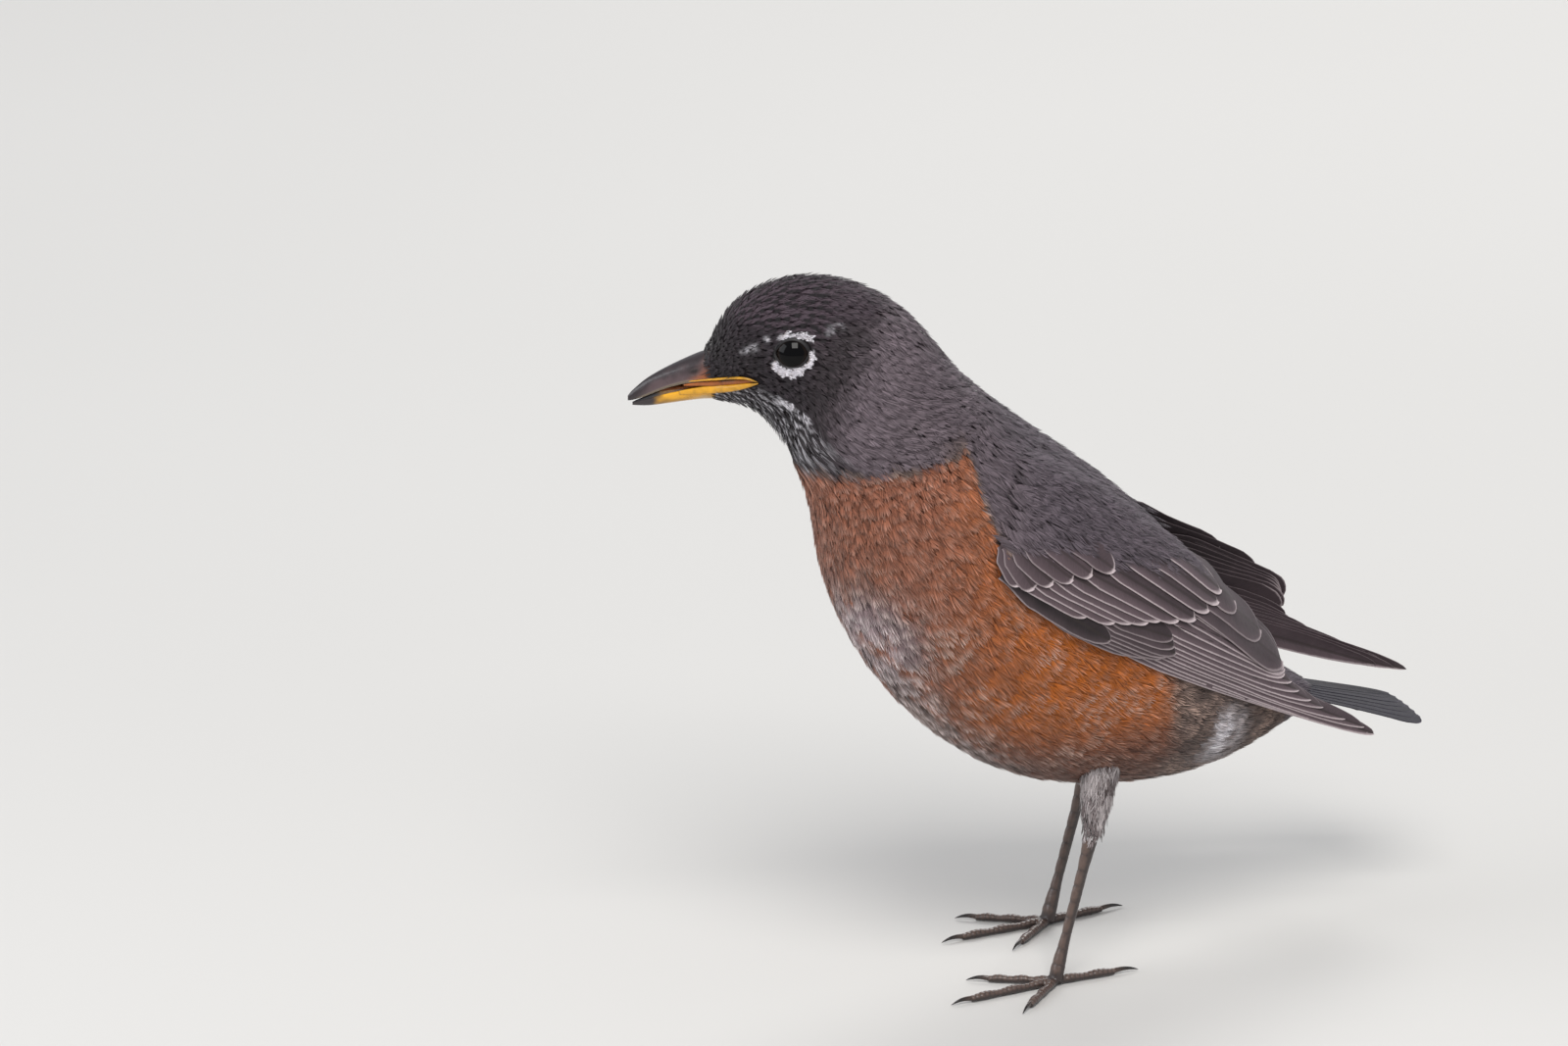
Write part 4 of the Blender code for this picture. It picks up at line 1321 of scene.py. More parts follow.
def wing_row(wing, draw, count, base, tip, webs, height, tint, step=0.05, tilt=0.28, tuck=0.5, end=0.8,
             bow=0.0, cover=None):
    """Quills of one row, from the lowest to the highest; height counts from the undermost row.

    base and tip are lists of (share of the wing's length, share of its height) that the row runs through.
    """
    row = np.linspace(0.0, 1.0, count)
    ends = []
    for path in (base, tip):
        path = np.array(path)
        known = np.linspace(0.0, 1.0, len(path))
        shares = [np.interp(row, known, path[:, k]) for k in (0, 1)]
        ends.append(np.stack(wing.spot(*shares), -1))
    jitter = (draw.normal(0.0, 0.35, (count, 2)) if count > 3 else 0.0) * np.array((1.0, 0.3))
    same = {"lower": webs[0], "upper": webs[1], "tilt": tilt, "tuck": tuck, "round": end, "bow": bow}
    return {
        "base": ends[0],
        "tip": ends[1] + jitter,
        "height": height - measure("wing_depth") + step * np.arange(count),
        "cover": cover,
        "tint": np.clip(np.array(tint) * draw.uniform(0.85, 1.15, (count, 3)), 0.0, 1.0),
        **{label: np.full(count, value, float) for label, value in same.items()},
    }


# Where rows of the wing's feathers end, and the soft feathers over them: shares of its length and height
PRIMARY_TIPS = ((0.95, 0.10), (0.985, 0.2), (1.0, 0.5), (0.97, 0.5), (0.918, 0.55), (0.86, 0.62),
                (0.835, 0.68), (0.80, 0.72), (0.78, 0.76))
GREATER_TIPS = ((0.235, 0.17), (0.285, 0.22), (0.33, 0.273), (0.36, 0.32), (0.39, 0.377), (0.43, 0.432),
                (0.474, 0.503), (0.503, 0.64), (0.527, 0.767), (0.545, 0.902))
TERTIAL_TIPS = ((0.754, 0.92), (0.69, 0.96), (0.6, 0.97))
MEDIAN_TIPS = ((0.085, 0.11), (0.11, 0.135), (0.137, 0.24), (0.168, 0.33), (0.205, 0.428), (0.25, 0.53))
PRIMARY_COVERT_TIPS = ((0.36, 0.05), (0.43, 0.1), (0.45, 0.17), (0.43, 0.28))
COAT_TIPS = ((-0.02, 0.0), (0.03, 0.1), (0.087, 0.31), (0.159, 0.47), (0.223, 0.54))
SOFT_TIPS = ((0.322, 0.62), (0.386, 0.7), (0.442, 0.86), (0.55, 0.97))


def wing_rows(wing, draw):
    """Every row of a folded wing's stiff feathers, the undermost first."""
    row = functools.partial(wing_row, wing, draw)
    primaries = row(9, ((0.2, 0.04), (0.3, 0.34)), PRIMARY_TIPS, (1.9, 3.4), 0.0, (0.8, 0.2, 0.42),
                    step=0.07, tilt=0.24, tuck=1.2, end=0.72, bow=-0.8, cover=PRIMARY_COVERT_TIPS)
    secondaries = row(6, ((0.3, 0.36), (0.42, 0.8)), ((0.765, 0.80), (0.755, 0.96)), (2.3, 4.4), 0.68,
                      (0.85, 0.5, 0.38), step=0.06, tilt=0.2, tuck=1.2, end=0.86, cover=GREATER_TIPS)
    primary_coverts = row(7, ((0.14, 0.03), (0.26, 0.22)), PRIMARY_COVERT_TIPS, (2.0, 2.8), 0.65,
                          (0.45, 0.3, 0.24), tilt=0.2, tuck=1.0, end=0.72, cover=GREATER_TIPS)
    tertials = row(3, ((0.34, 0.74), (0.32, 0.92)), TERTIAL_TIPS, (4.2, 4.2), 1.2, (0.5, 0.4, 0.36),
                   step=0.12, tuck=1.2, end=0.82, cover=GREATER_TIPS)
    small_alula = row(1, ((0.04, 0.14),), ((0.2, 0.16),), (1.8, 1.6), 1.1, (0.5, 0.5, 0.12), end=0.6)
    large_alula = row(1, ((0.045, 0.065),), ((0.3, 0.075),), (3.1, 3.1), 1.2, (0.5, 0.3, 0.02),
                      end=0.62, tilt=0.15)
    greater_coverts = row(10, ((0.05, 0.13), (0.13, 0.36), (0.3, 0.92)), GREATER_TIPS, (2.2, 3.4), 1.25,
                          (0.8, 0.95, 0.42), tuck=0.9, cover=MEDIAN_TIPS + SOFT_TIPS)
    median_coverts = row(6, ((0.015, 0.13), (0.04, 0.32), (0.1, 0.6)), MEDIAN_TIPS, (2.6, 3.0), 1.75,
                         (0.4, 0.95, 0.54), tuck=1.6, end=0.7, cover=COAT_TIPS)
    return [primaries, secondaries, primary_coverts, tertials, small_alula, large_alula, greater_coverts,
            median_coverts]


def vane_group(name):
    """The look of a feather's web: pale margins, a darker middle along the shaft and fine slanting barbs."""
    inputs = [("Colour", "Color", (0.1, 0.09, 0.09, 1.0)), ("Pale", "Color", (0.5, 0.45, 0.42, 1.0)),
              ("Margin", "Float", 0.5), ("Barbs", "Float", 0.35)]
    tree, given, out = shader_group(name, inputs, ("Colour", "Height", "Roughness"))
    wire = Wiring(tree)
    plus, times = wire.plus, wire.times
    web = wire.channels("Web")
    tint = wire.channels("Tint")
    spread = wire.node("SeparateXYZ", {0: wire.node("UVMap", uv_map="Vane").outputs[0]}).outputs
    spot = wire.own_place()
    rough = wire.noise(spot, 900.0, 3.0)
    broad = wire.noise(spot, 180.0, 2.0)
    margin = times(web[0], WIDEST_MARGIN)
    width = times(given["Margin"], plus(times(rough, 0.6), 0.5))
    lower = wire.between(web[2], 0.5, 0.42)
    wide = times(width, plus(times(lower, 1.0), 0.25))
    tip_width = times(wire.between(web[1], 0.84, 0.99), times(tint[1], 0.9))
    edge = wire.between(margin, plus(wide, tip_width), times(wide, 0.1))
    outer = times(tint[0], plus(times(lower, 0.85), 0.15))
    share = times(edge, wire.maths("MAXIMUM", outer, times(tip_width, 1.5)))
    light = plus(times(tint[2], 1.3), times(broad, 0.5))
    hazy = times(wire.between(margin, 2.4, 0.2), times(outer, 0.9))
    ground = wire.scaled(given["Colour"], plus(light, hazy))
    across = wire.maths("ABSOLUTE", spread[1])
    shaft = wire.between(across, 0.0045, 0.0015)
    ground = wire.blend(times(shaft, 0.5), ground, (0.03, 0.022, 0.02, 1.0))
    phase = wire.maths("SUBTRACT", spread[0], times(across, 0.8))
    streak = wire.node("CombineXYZ", {0: times(phase, 620.0), 1: times(spread[1], 60.0)})
    line = wire.noise(streak.outputs[0], 1.0, 2.0)
    gain = plus(times(line, given["Barbs"]), 0.66)
    colour = wire.blend(wire.maths("MINIMUM", share, 1.0), ground, given["Pale"])
    wire.give(out["Colour"], wire.scaled(colour, gain))
    wire.give(out["Height"], plus(times(line, 0.7), rough))
    wire.give(out["Roughness"], plus(times(rough, 0.2), 0.5))
    return tree


@made_once
def vane_material(name, colour, pale, margin):
    """A stiff feather's material."""
    material, shader, wire = new_material(name, colour, 0.5, specular=0.25, sheen=0.03)
    values = {"Colour": (*colour, 1.0), "Pale": (*pale, 1.0), "Margin": margin, "Barbs": 0.7}
    surfaced(shader, wire, "Feather_Web", vane_group, values, 0.25, 0.0001)
    return material


def make_wing(name):
    """The stiff feathers of one folded wing, in place of its three solids."""
    wing = WINGS[name]
    draw = draws(name + " wing")
    coat = Coat()
    for row in wing_rows(wing, draw):
        grow_vanes(coat, wing, row, draw)
    piece = coat.build(f"wing_{name}_feathers")
    nodes = [f"wing_{name}_{part}" for part in WING_NODES]
    material = vane_material("Wing feathers", tone("wing"), tone("wing_pale"), 0.45)
    return finished(piece, material, nodes)


TAIL_AHEAD, TAIL_ASIDE = 14.0, 24.0  # how far the tail's sheet reaches ahead of its root and to each side
TAIL_PAIRS = 6


class TailSheet(Sheet):
    """The upper face of the tail's fan: u runs back from its root, v to the bird's left."""

    def __init__(self):
        low = corners("tail")[0]
        self.root = np.array((low[0] + 0.6, 0.6, within("tail", 0.0, 0.0, 0.85)[2] + 1.1))
        tip = within("tail", 0.917, 0.5, 0.187)
        self.along = unit(tip - self.root)
        self.across = unit(np.cross(self.along, UPWARD))
        over = np.cross(self.across, -self.along)
        over = over if over[2] > 0 else -over
        u = np.arange(-TAIL_AHEAD, 32.0)
        v = np.arange(-TAIL_ASIDE, TAIL_ASIDE + 1.0)
        grid = self.root + self.along * u[:, None, None] + self.across * v[:, None]
        arch = -2.2 * (v / 16.0) ** 2
        grid = grid + over * arch[:, None]
        super().__init__(grid, (1.0, 1.0), False, lambda places: np.full(places.shape, over))

    def spot(self, along, across):
        """Grid coordinates of one place behind the root and to the left of it, as an array of one."""
        return np.array([(along + TAIL_AHEAD, across + TAIL_ASIDE)])


def make_tail():
    """Twelve tail feathers in a folded fan, the middle pair uppermost, in place of the tail's solid."""
    sheet = TailSheet()
    low, high = corners("tail")
    draw = draws("tail")
    coat = Coat()
    for pair in range(TAIL_PAIRS, 0, -1):
        for hand in (-1.0, 1.0):
            share = (pair - 0.72) / TAIL_PAIRS
            turn = 0.5 - 0.45 * hand * share
            back = high[0] - 0.9 * turn - 4.4 * turn ** 2 - 0.2
            reach = (np.array((back, low[1] + turn * (high - low)[1], 0.0)) - sheet.root) * (1.0, 1.0, 0.0)
            webs = (3.6, 5.0) if hand > 0 else (5.0, 3.6)
            single = {
                "lower": webs[0], "upper": webs[1], "height": 0.55 - 0.2 * pair + 0.04 * hand,
                "tilt": 0.12 * hand, "tuck": 0.0, "round": 0.8, "bow": -0.6 * hand,
                "tint": (0.3, 0.35, 0.4 + 0.05 * draw.normal()),
            }
            quill = {label: np.array([value]) for label, value in single.items()}
            quill["base"] = sheet.spot(-11.0, hand * 5.5 * share)
            quill["tip"] = sheet.spot(reach @ sheet.along / (1.0 - sheet.along[2] ** 2), reach @ sheet.across)
            grow_vanes(coat, sheet, quill, draw)
    material = vane_material("Tail feathers", tone("tail"), tone("tail_pale"), 0.36)
    return finished(coat.build("tail_feathers"), material, ["tail"])


# ---- bill, mouth and eyes

def loft(bm, rings):
    """Adds a closed form through rings of places in mm: a circle extruded ring by ring, its ends filled."""
    ring = bmesh.ops.create_circle(bm, segments=len(rings[0]), radius=1.0)["verts"]
    edges = list(dict.fromkeys(edge for vert in ring for edge in vert.link_edges))
    ends = [edges]
    for number, places in enumerate(rings):
        if number:
            grown = bmesh.ops.extrude_edge_only(bm, edges=edges)["geom"]
            edges = [item for item in grown if isinstance(item, bmesh.types.BMEdge)]
            fresh = {item for item in grown if isinstance(item, bmesh.types.BMVert)}
            ring = [next(e.other_vert(v) for e in v.link_edges if e.other_vert(v) in fresh) for v in ring]
        for vert, place in zip(ring, places):
            vert.co = Vector(place) * MM
    ends.append(edges)
    for end in ends:
        bmesh.ops.contextual_create(bm, geom=end)
    bmesh.ops.recalc_face_normals(bm, faces=bm.faces)


def lofted(name, *forms):
    """An object of one or more lofts."""
    bm = bmesh.new()
    for rings in forms:
        loft(bm, rings)
    return object_from(bm, name)


def head_extent(node):
    """Lowest and highest reach of a solid ahead of, above and left of the point between the eyes."""
    places = np.array([vert.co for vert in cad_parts[node].data.vertices]) / MM
    axes = np.stack(head_axes(places), -1)
    return axes.min(0), axes.max(0)


# Bill profiles: share of the length, then the top, the cutting edge and the half width as shares of the box.
UPPER_BILL = ((0.0, 1.0, 0.47, 1.0), (0.257, 0.835, 0.43, 0.8), (0.515, 0.65, 0.30, 0.57),
              (0.767, 0.435, 0.12, 0.37), (0.916, 0.235, 0.02, 0.21), (1.0, 0.09, 0.0, 0.07))
LOWER_BILL = ((0.0, 1.12, 0.413, 1.0), (0.274, 0.96, 0.283, 0.79), (0.541, 0.72, 0.13, 0.54),
              (0.796, 0.42, 0.0, 0.33), (1.0, 0.16, 0.03, 0.08))
BILL_ROOT = 2.2  # length of the bill hidden in the face
BILL_RINGS, BILL_SIDES = 34, 44
NOSTRIL = (0.13, 0.42)  # its shares of the bill's length and of its height over the cutting edge


def profile_at(profile, share):
    """The top, cutting edge and half width of a bill profile at a share of its length, soft at the knots."""
    known = np.array(profile)
    fine = np.linspace(-0.3, 1.3, 161)
    values = np.stack([np.interp(fine, known[:, 0], known[:, k]) for k in (1, 2, 3)], -1)
    ends = ramp(fine, 0.9, 1.0)[:, None]
    values = mixed_number(blur(values, 7.0, 0, False), values, ends)
    return [float(np.interp(share, fine, values[:, k])) for k in range(3)]


def bill_rings(node, profile, upper):
    """Rings of one half of the bill: vaulted outside, hollowed inside, with a thin cutting edge between."""
    low, high = head_extent(node)
    size = high - low
    rise, out = np.cos(turns(BILL_SIDES)), np.sin(turns(BILL_SIDES))
    vault = np.sign(rise) * np.abs(rise) ** 0.92
    hollow = np.where(rise > 0 if upper else rise < 0, 1.0, -0.2)
    rings = []
    for share in np.r_[-BILL_ROOT / size[0], 1.0 - (1.0 - np.linspace(0.0, 1.0, BILL_RINGS)) ** 1.35]:
        over, under, width = profile_at(profile, share)
        top, bottom = low[1] + size[1] * over, low[1] + size[1] * under
        height = (bottom if upper else top) + hollow * (top - bottom) * vault
        left = high[2] * width * np.sign(out) * np.abs(out) ** 0.88
        if upper:
            above = (height - bottom - NOSTRIL[1] * (top - bottom)) / 0.55
            nostril = np.exp(-(((share - NOSTRIL[0]) / 0.075) ** 2) - above ** 2)
            left = left * (1.0 - 0.22 * nostril)
        ahead = low[0] + size[0] * share
        rings.append([head_place(ahead, h, w) for h, w in zip(height, left)])
    return rings


def bill_colours(places, upper):
    """Horn colours: dark ridge and tip, browner sides, yellow towards the mouth."""
    ahead, up, left = head_axes(places)
    low, high = head_extent("bill_upper" if upper else "bill_lower")
    share = (ahead - low[0]) / (high - low)[0]
    known = np.array(UPPER_BILL if upper else LOWER_BILL)
    top, edge = (low[1] + (high - low)[1] * np.interp(share, known[:, 0], known[:, k]) for k in (1, 2))
    rough = noise(places, 1.3) - 0.5
    dark = tone("horn_dark")
    if upper:
        rise = (up - edge) / np.maximum(top - edge, 0.3)
        colour = mixed(tone("horn_brown"), dark, ramp(rise + 0.5 * rough, 0.2, 0.95))
        colour = mixed(colour, dark * 0.8, ramp(share, 0.62, 0.95))
        warm = ramp(share + 0.3 * rise, 0.34, 0.02) * mixed_number(0.35, 1.0, ramp(rise, 0.5, 0.1))
        colour = mixed(colour, tone("orange"), 0.8 * warm)
        colour = mixed(colour, tone("horn_pale"), 0.75 * ramp(rise, 0.11, 0.02) * ramp(share, 0.95, 0.8))
        # The nostril: a dark spot, painted shade of its opening
        nostril = np.exp(-(((share - NOSTRIL[0]) / 0.05) ** 2) - ((rise - NOSTRIL[1]) / 0.12) ** 2)
        return mixed(colour, dark * 0.35, np.clip(1.4 * nostril * (np.abs(left) > 0.8), 0.0, 1.0))
    drop = top - up
    yellow = tone("yellow")
    colour = mixed(yellow, tone("horn_pale"), 0.7 * ramp(drop + rough, 1.2, 2.6) * ramp(share, 0.3, 0.0))
    colour = mixed(colour, yellow * 0.62, ramp(drop + rough, 1.3, 2.3) * ramp(share, 0.12, 0.3))
    return mixed(colour, dark, ramp(share + 0.18 * rough, 0.48, 0.74))


def make_bill():
    """Both halves of the bill, the lining of the mouth and its yellow corners."""
    for node, profile, upper in (("bill_upper", UPPER_BILL, True), ("bill_lower", LOWER_BILL, False)):
        piece = lofted(node + "_horn", bill_rings(node, profile, upper))
        tinted(piece.data, "Horn", bill_colours(vertex_places(piece), upper))
        finished(piece, horn_material(), [node])
    make_mouth()


BRISTLES = 14
# Soft parts at the corners of the mouth: line ahead and up, half heights from front to back, half width, how
# deep they start and end in the face, and colour
MOUTH_CORNERS = (
    ("upper", ((23.5, -7.2), (17.0, -5.9), (13.0, -5.0), (10.5, -4.8), (8.0, -5.9)), (0.2, 0.36), 0.3,
     (0.5, 0.05), "yellow"),
    ("lower", ((25.0, -9.8), (17.5, -8.7), (14.0, -7.8), (11.0, -6.9), (7.9, -6.1)), (1.2, 0.62), 0.5,
     (1.0, 0.15), "yellow"),
    ("fold", ((24.0, -8.0), (16.0, -7.1), (13.0, -6.3), (10.5, -5.8), (8.0, -5.9)), (0.6, 0.6), 0.4,
     (1.5, 0.6), "orange"),
)
CORNER_END = 0.35  # how much deeper the last point of a corner's line lies
CORNER_TAPER = ((0.0, 0.4, 0.78, 0.92, 1.0), (0.35, 1.0, 0.9, 0.6, 0.12))


def make_mouth():
    """The tongue and lining between the halves of the bill, and the soft corners of the mouth."""
    low, high = head_extent("bill_lower")
    size = high - low
    rings = []
    for ahead in np.linspace(low[0] - 5.0, low[0] + 0.62 * size[0], 14):
        share = (ahead - low[0]) / size[0]
        middle = low[1] + size[1] * (1.18 - 0.62 * share)
        width = high[2] * np.interp(share, (-0.35, 0.0, 0.3, 0.62), (0.8, 0.78, 0.5, 0.12))
        thick = 0.75 - 0.5 * max(share, 0.0)
        rings.append([head_place(ahead, middle + thick * math.cos(turn), width * math.sin(turn))
                      for turn in turns(20)])
    lining = lofted("mouth_lining", rings)
    # The mouth's own orange, darkened to 0.6 as painted shade inside the mouth
    tinted(lining.data, "Horn", tone("orange") * 0.6)
    finished(lining, horn_material("Mouth", roughness=0.4))
    for name, side in SIDES:
        for corner in MOUTH_CORNERS:
            make_mouth_corner(name, side, *corner)
    make_bristles()


def make_mouth_corner(name, side, label, path, radii, thick, depth, colour):
    """One soft part at a corner of the mouth."""
    depths = np.interp(np.arange(len(path)), (0.0, 1.5, 3.0, 4.0), (*depth, depth[1], depth[1] + CORNER_END))
    points = [face_place(ahead, up, side, -deep) for (ahead, up), deep in zip(path, depths)]
    line = smooth_path(points, 1.0, 0.4)
    share = np.linspace(0, 1, len(line))
    taper = np.interp(share, *CORNER_TAPER)
    rings = tube(line, np.interp(share, (0.0, 1.0), radii) * taper, np.full(len(line), thick) * taper)
    piece = lofted(f"mouth_corner_{label}_{name}", rings)
    places = vertex_places(piece)
    # Painted shade: each corner darker towards the back, where it runs in under the face's feathers
    soft = ramp(head_axes(places)[0], 20.0, 9.0)[:, None]
    tinted(piece.data, "Horn", tone(colour) * (0.62 + 0.4 * noise(places, 0.9)[:, None] - 0.22 * soft))
    finished(piece, horn_material("Mouth", roughness=0.38))


def make_bristles():
    """Fine dark bristles that stand forward over the corners of the mouth."""
    draw = draws("bristles")
    for name, side in SIDES:
        forms = []
        for number in range(BRISTLES):
            share = (number + draw.uniform(0.2, 0.8)) / BRISTLES
            start = (11.0 + 7.5 * share, -3.6 + draw.normal(0.0, 0.35))
            reach = draw.uniform(2.6, 4.6)
            fall = draw.uniform(0.45, 0.8)
            points = [
                face_place(start[0] + reach * t, start[1] - fall * reach * t, side, -0.3 + 1.3 * t ** 0.8)
                for t in (0.0, 0.35, 0.7, 1.0)
            ]
            line = smooth_path(points, 0.4, 0.5)
            forms.append(tube(line, np.linspace(0.06, 0.012, len(line)), sides=5))
        piece = lofted(f"bristles_{name}", *forms)
        tinted(piece.data, "Horn", tone("black") * 0.7)
        finished(piece, horn_material("Eyelid", 0.55, 0.0))


def tube(line, radii, thick=None, sides=14, upright=UPWARD):
    """Rings of a bar along a line of places in mm; thick is its half width sideways where that differs."""
    along = unit(np.gradient(line, axis=0))
    over = unit(upright - along * (along @ upright)[:, None])
    out = np.cross(along, over)
    rise, aside = np.cos(turns(sides))[:, None], np.sin(turns(sides))[:, None]
    thick = radii if thick is None else thick
    return [p + r * rise * o + t * aside * s for p, r, t, o, s in zip(line, radii, thick, over, out)]


FACE_TREE = face_tree(("head", "neck", "eye_left", "eye_right"), FACE_VOXEL, 3)
FACE_RAY = (30.0, 50.0)  # how far out the rays at the face start, and their length


def face_place(ahead, up, side, height):
    """The place on the side of the face that is this far ahead of and above the eyes."""
    start = Vector(head_place(ahead, up, side * FACE_RAY[0])) * MM
    spot, normal, _, _ = FACE_TREE.ray_cast(start, Vector(-side * LEFTWARD), FACE_RAY[1] * MM)
    if spot is None:
        return head_place(ahead, up, side * np.interp(ahead, (17.0, 36.0), (4.4, 0.5)))
    return np.array(spot) / MM + np.array(normal) * height


@made_once
def eye_material(name):
    """Wet black pupil in a very dark brown iris, coloured by the angle from the eye's axis."""
    material, shader, wire = new_material(name, (0.006, 0.004, 0.003), 0.03, specular=0.15)
    angle = wire.channels("Angle")[0]
    grain = wire.noise(wire.own_place(), 2500.0, 2.0)
    iris = wire.blend(grain, (0.004, 0.0025, 0.002, 1.0), (0.011, 0.006, 0.004, 1.0))
    ring = wire.between(angle, 0.36, 0.39)
    rim = wire.between(angle, 0.46, 0.52)
    colour = wire.blend(ring, (0.0015, 0.0013, 0.0015, 1.0), iris)
    wire.give(shader["Base Color"], wire.blend(rim, colour, (0.004, 0.003, 0.003, 1.0)))
    return material


LID_FLANGE = 1.4  # width of the bare rim that runs from the lid's edge down under the feathers


def upright_of(name):
    """The way up that is square to an eye's gaze."""
    return unit(UPWARD - (UPWARD @ GAZE[name]) * GAZE[name])


LID_TRACK = 10.0  # radius of the plain ring that a lid is bent from
LID_SIDES, LID_STEPS = 14, 72


def lid_ring(name):
    """One round of lid on the eyeball: higher in front and behind, where it comes to a soft point."""
    gaze = Vector(GAZE[name])
    steep = Vector(upright_of(name))
    bm = bmesh.new()
    ring = bmesh.ops.create_circle(bm, segments=LID_SIDES, radius=1.0)
    upright = Matrix.Translation((LID_TRACK, 0.0, 0.0)) @ Matrix.Rotation(math.pi / 2, 4, "X")
    bmesh.ops.transform(bm, matrix=upright, verts=ring["verts"])
    bmesh.ops.spin(bm, geom=bm.verts[:] + bm.edges[:], cent=(0, 0, 0), axis=(0, 0, 1),
                   angle=2 * math.pi, steps=LID_STEPS, use_merge=True)
    bmesh.ops.remove_doubles(bm, verts=bm.verts, dist=1e-4)
    front = Vector(AHEAD) - gaze * gaze.dot(Vector(AHEAD))
    front.normalize()
    opening = measure("eye_opening")
    for vert in bm.verts:
        angle = math.atan2(vert.co.y, vert.co.x)
        outward, lift = math.hypot(vert.co.x, vert.co.y) - LID_TRACK, vert.co.z
        point = 0.3 * math.exp(-(angle / 0.3) ** 2) + 0.2 * math.exp(-((abs(angle) - math.pi) / 0.3) ** 2)
        thick = measure("lid_thickness") * (1.0 + 0.26 * math.sin(angle))
        sunk = LID_FLANGE * max(outward, 0.0)
        reach = opening + point + thick * min(outward, 0.0) + sunk
        flat = front * (math.cos(angle) * reach) + steep * (math.sin(angle) * reach * EYE_FLATTEN)
        edge = flat * ((opening + point) / reach)
        seat = math.sqrt(max(EYE_RADIUS ** 2 - edge.length_squared, 0.1))
        rise = seat + 0.04 + thick * lift - 0.75 * sunk - 0.25 * sunk * sunk
        vert.co = (Vector(EYES[name] + EYE_SHIFT) + flat + gaze * rise) * MM
    bmesh.ops.recalc_face_normals(bm, faces=bm.faces)
    return object_from(bm, f"eye_{name}_lid")


def make_eyes():
    """Both eyeballs with their lids."""
    for name, _ in SIDES:
        turn = Vector(GAZE[name]).to_track_quat("Z", "Y").to_matrix().to_4x4()
        centre = EYES[name] + EYE_SHIFT
        bm = bmesh.new()
        bmesh.ops.create_uvsphere(bm, u_segments=64, v_segments=40, radius=EYE_RADIUS * MM)
        bmesh.ops.transform(bm, matrix=Matrix.Translation(Vector(centre) * MM) @ turn, verts=bm.verts)
        ball = object_from(bm, f"eye_{name}_ball")
        offset = unit(vertex_places(ball) - centre)
        angle = np.arccos(np.clip(offset @ GAZE[name], -1.0, 1.0)) / (math.pi / 2)
        tinted(ball.data, "Angle", np.clip(angle, 0.0, 1.0)[:, None])
        finished(ball, eye_material("Eye"), [f"eye_{name}"])
        lid = lid_ring(name)
        tinted(lid.data, "Horn", tone("black") * 0.45)
        finished(lid, horn_material("Eyelid", 0.55, 0.0))


# ---- legs and feet

TOE_NAMES = ("inner", "middle", "outer", "hind")


def shank_ends(name):
    """The middles of a foot and of its ankle, and half the width of the shank's solid."""
    low, high = corners(f"leg_{name}_tarsus")
    middle = (low[1] + high[1]) / 2
    return (np.array((low[0] + 1.9, middle, 1.2)), np.array((high[0] - 1.7, middle, high[2])),
            (high[1] - low[1]) / 2)


def toe_line(name, toe):
    """A toe's ends under the ankle and at its claw, its way, its claw's length and its half height."""
    high = corners(f"toe_{name}_{toe}")[1]
    claw_low, claw_high = corners(f"claw_{name}_{toe}")
    half = high[2] / 2
    start = shank_ends(name)[0] * (1.0, 1.0, 0.0) + half * UPWARD
    middle = (claw_low + claw_high) / 2
    way = unit((middle - start) * (1.0, 1.0, 0.0))
    claw = abs(way) @ (claw_high - claw_low)
    root = middle - way * (0.5 * claw - 0.3)
    root[2] = half
    return start, root, way, claw, half


def foot_skin(name):
    """One skin for a tarsus and its four toes, with pads under the toes' joints."""
    foot, ankle, wide = shank_ends(name)
    ankle = ankle - 0.4 * UPWARD
    line = smooth_path([foot, foot + (ankle - foot) * 0.5, ankle], 1.0, 1.0)
    share = np.linspace(0.0, 1.0, len(line))
    front = np.interp(share, (0.0, 0.1, 0.3, 0.8, 1.0), (1.55, 1.5, 1.2, 1.35, 1.75))
    across = np.interp(share, (0.0, 0.08, 0.3, 0.8, 1.0), (wide * 0.85, wide * 0.8, 0.95, 1.0, 1.3))
    forms = [tube(line, front, across, sides=24, upright=np.array((-1.0, 0.0, 0.0)))]
    for toe in TOE_NAMES:
        start, root, way, _, half = toe_line(name, toe)
        line = smooth_path([start, (start + root) / 2, root + way * 0.5], 0.5, 0.35)
        share = np.linalg.norm(line - start, axis=1) / np.linalg.norm(root - start)
        joints = 3 if toe != "hind" else 2
        pads = 0.5 - 0.5 * np.cos(2 * math.pi * joints * share)
        radius = half * np.interp(share, (0.0, 0.85, 1.0, 1.1), (0.9, 0.82, 0.78, 0.6)) * (0.86 + 0.18 * pads)
        line[:, 2] = np.maximum(radius, 0.1) + 0.03
        forms.append(tube(line, radius, radius * 1.05, sides=16))
    bm = bmesh.new()
    for rings in forms:
        loft(bm, rings)
    return joined_forms(bm, FOOT_VOXEL, 3)


def scutes(places, normals, name):
    """How much each place of a foot shows the middle of a cross scale."""
    foot, ankle, _ = shank_ends(name)
    way = unit(ankle - foot)
    above = ramp(places[:, 2], 2.6, 4.0)
    front = np.array((-way[2], 0.0, way[0]))
    wave = np.abs(np.sin((places - foot) @ way * math.pi / measure("tarsus_scale"))) ** 0.4
    show = wave * ramp(normals @ front, -0.1, 0.5) * above
    for toe in TOE_NAMES:
        start, _, along, _, _ = toe_line(name, toe)
        reach = (places - start) @ along
        aside = np.linalg.norm((places - start - reach[:, None] * along) * (1, 1, 0), axis=1)
        own = ramp(aside, 1.5, 1.1) * ramp(reach, 1.4, 2.4) * (1.0 - above)
        rings = np.abs(np.sin(reach * math.pi / measure("toe_scale"))) ** 0.5
        show = np.maximum(show, own * rings * ramp(normals[:, 2], -0.1, 0.4))
    return show


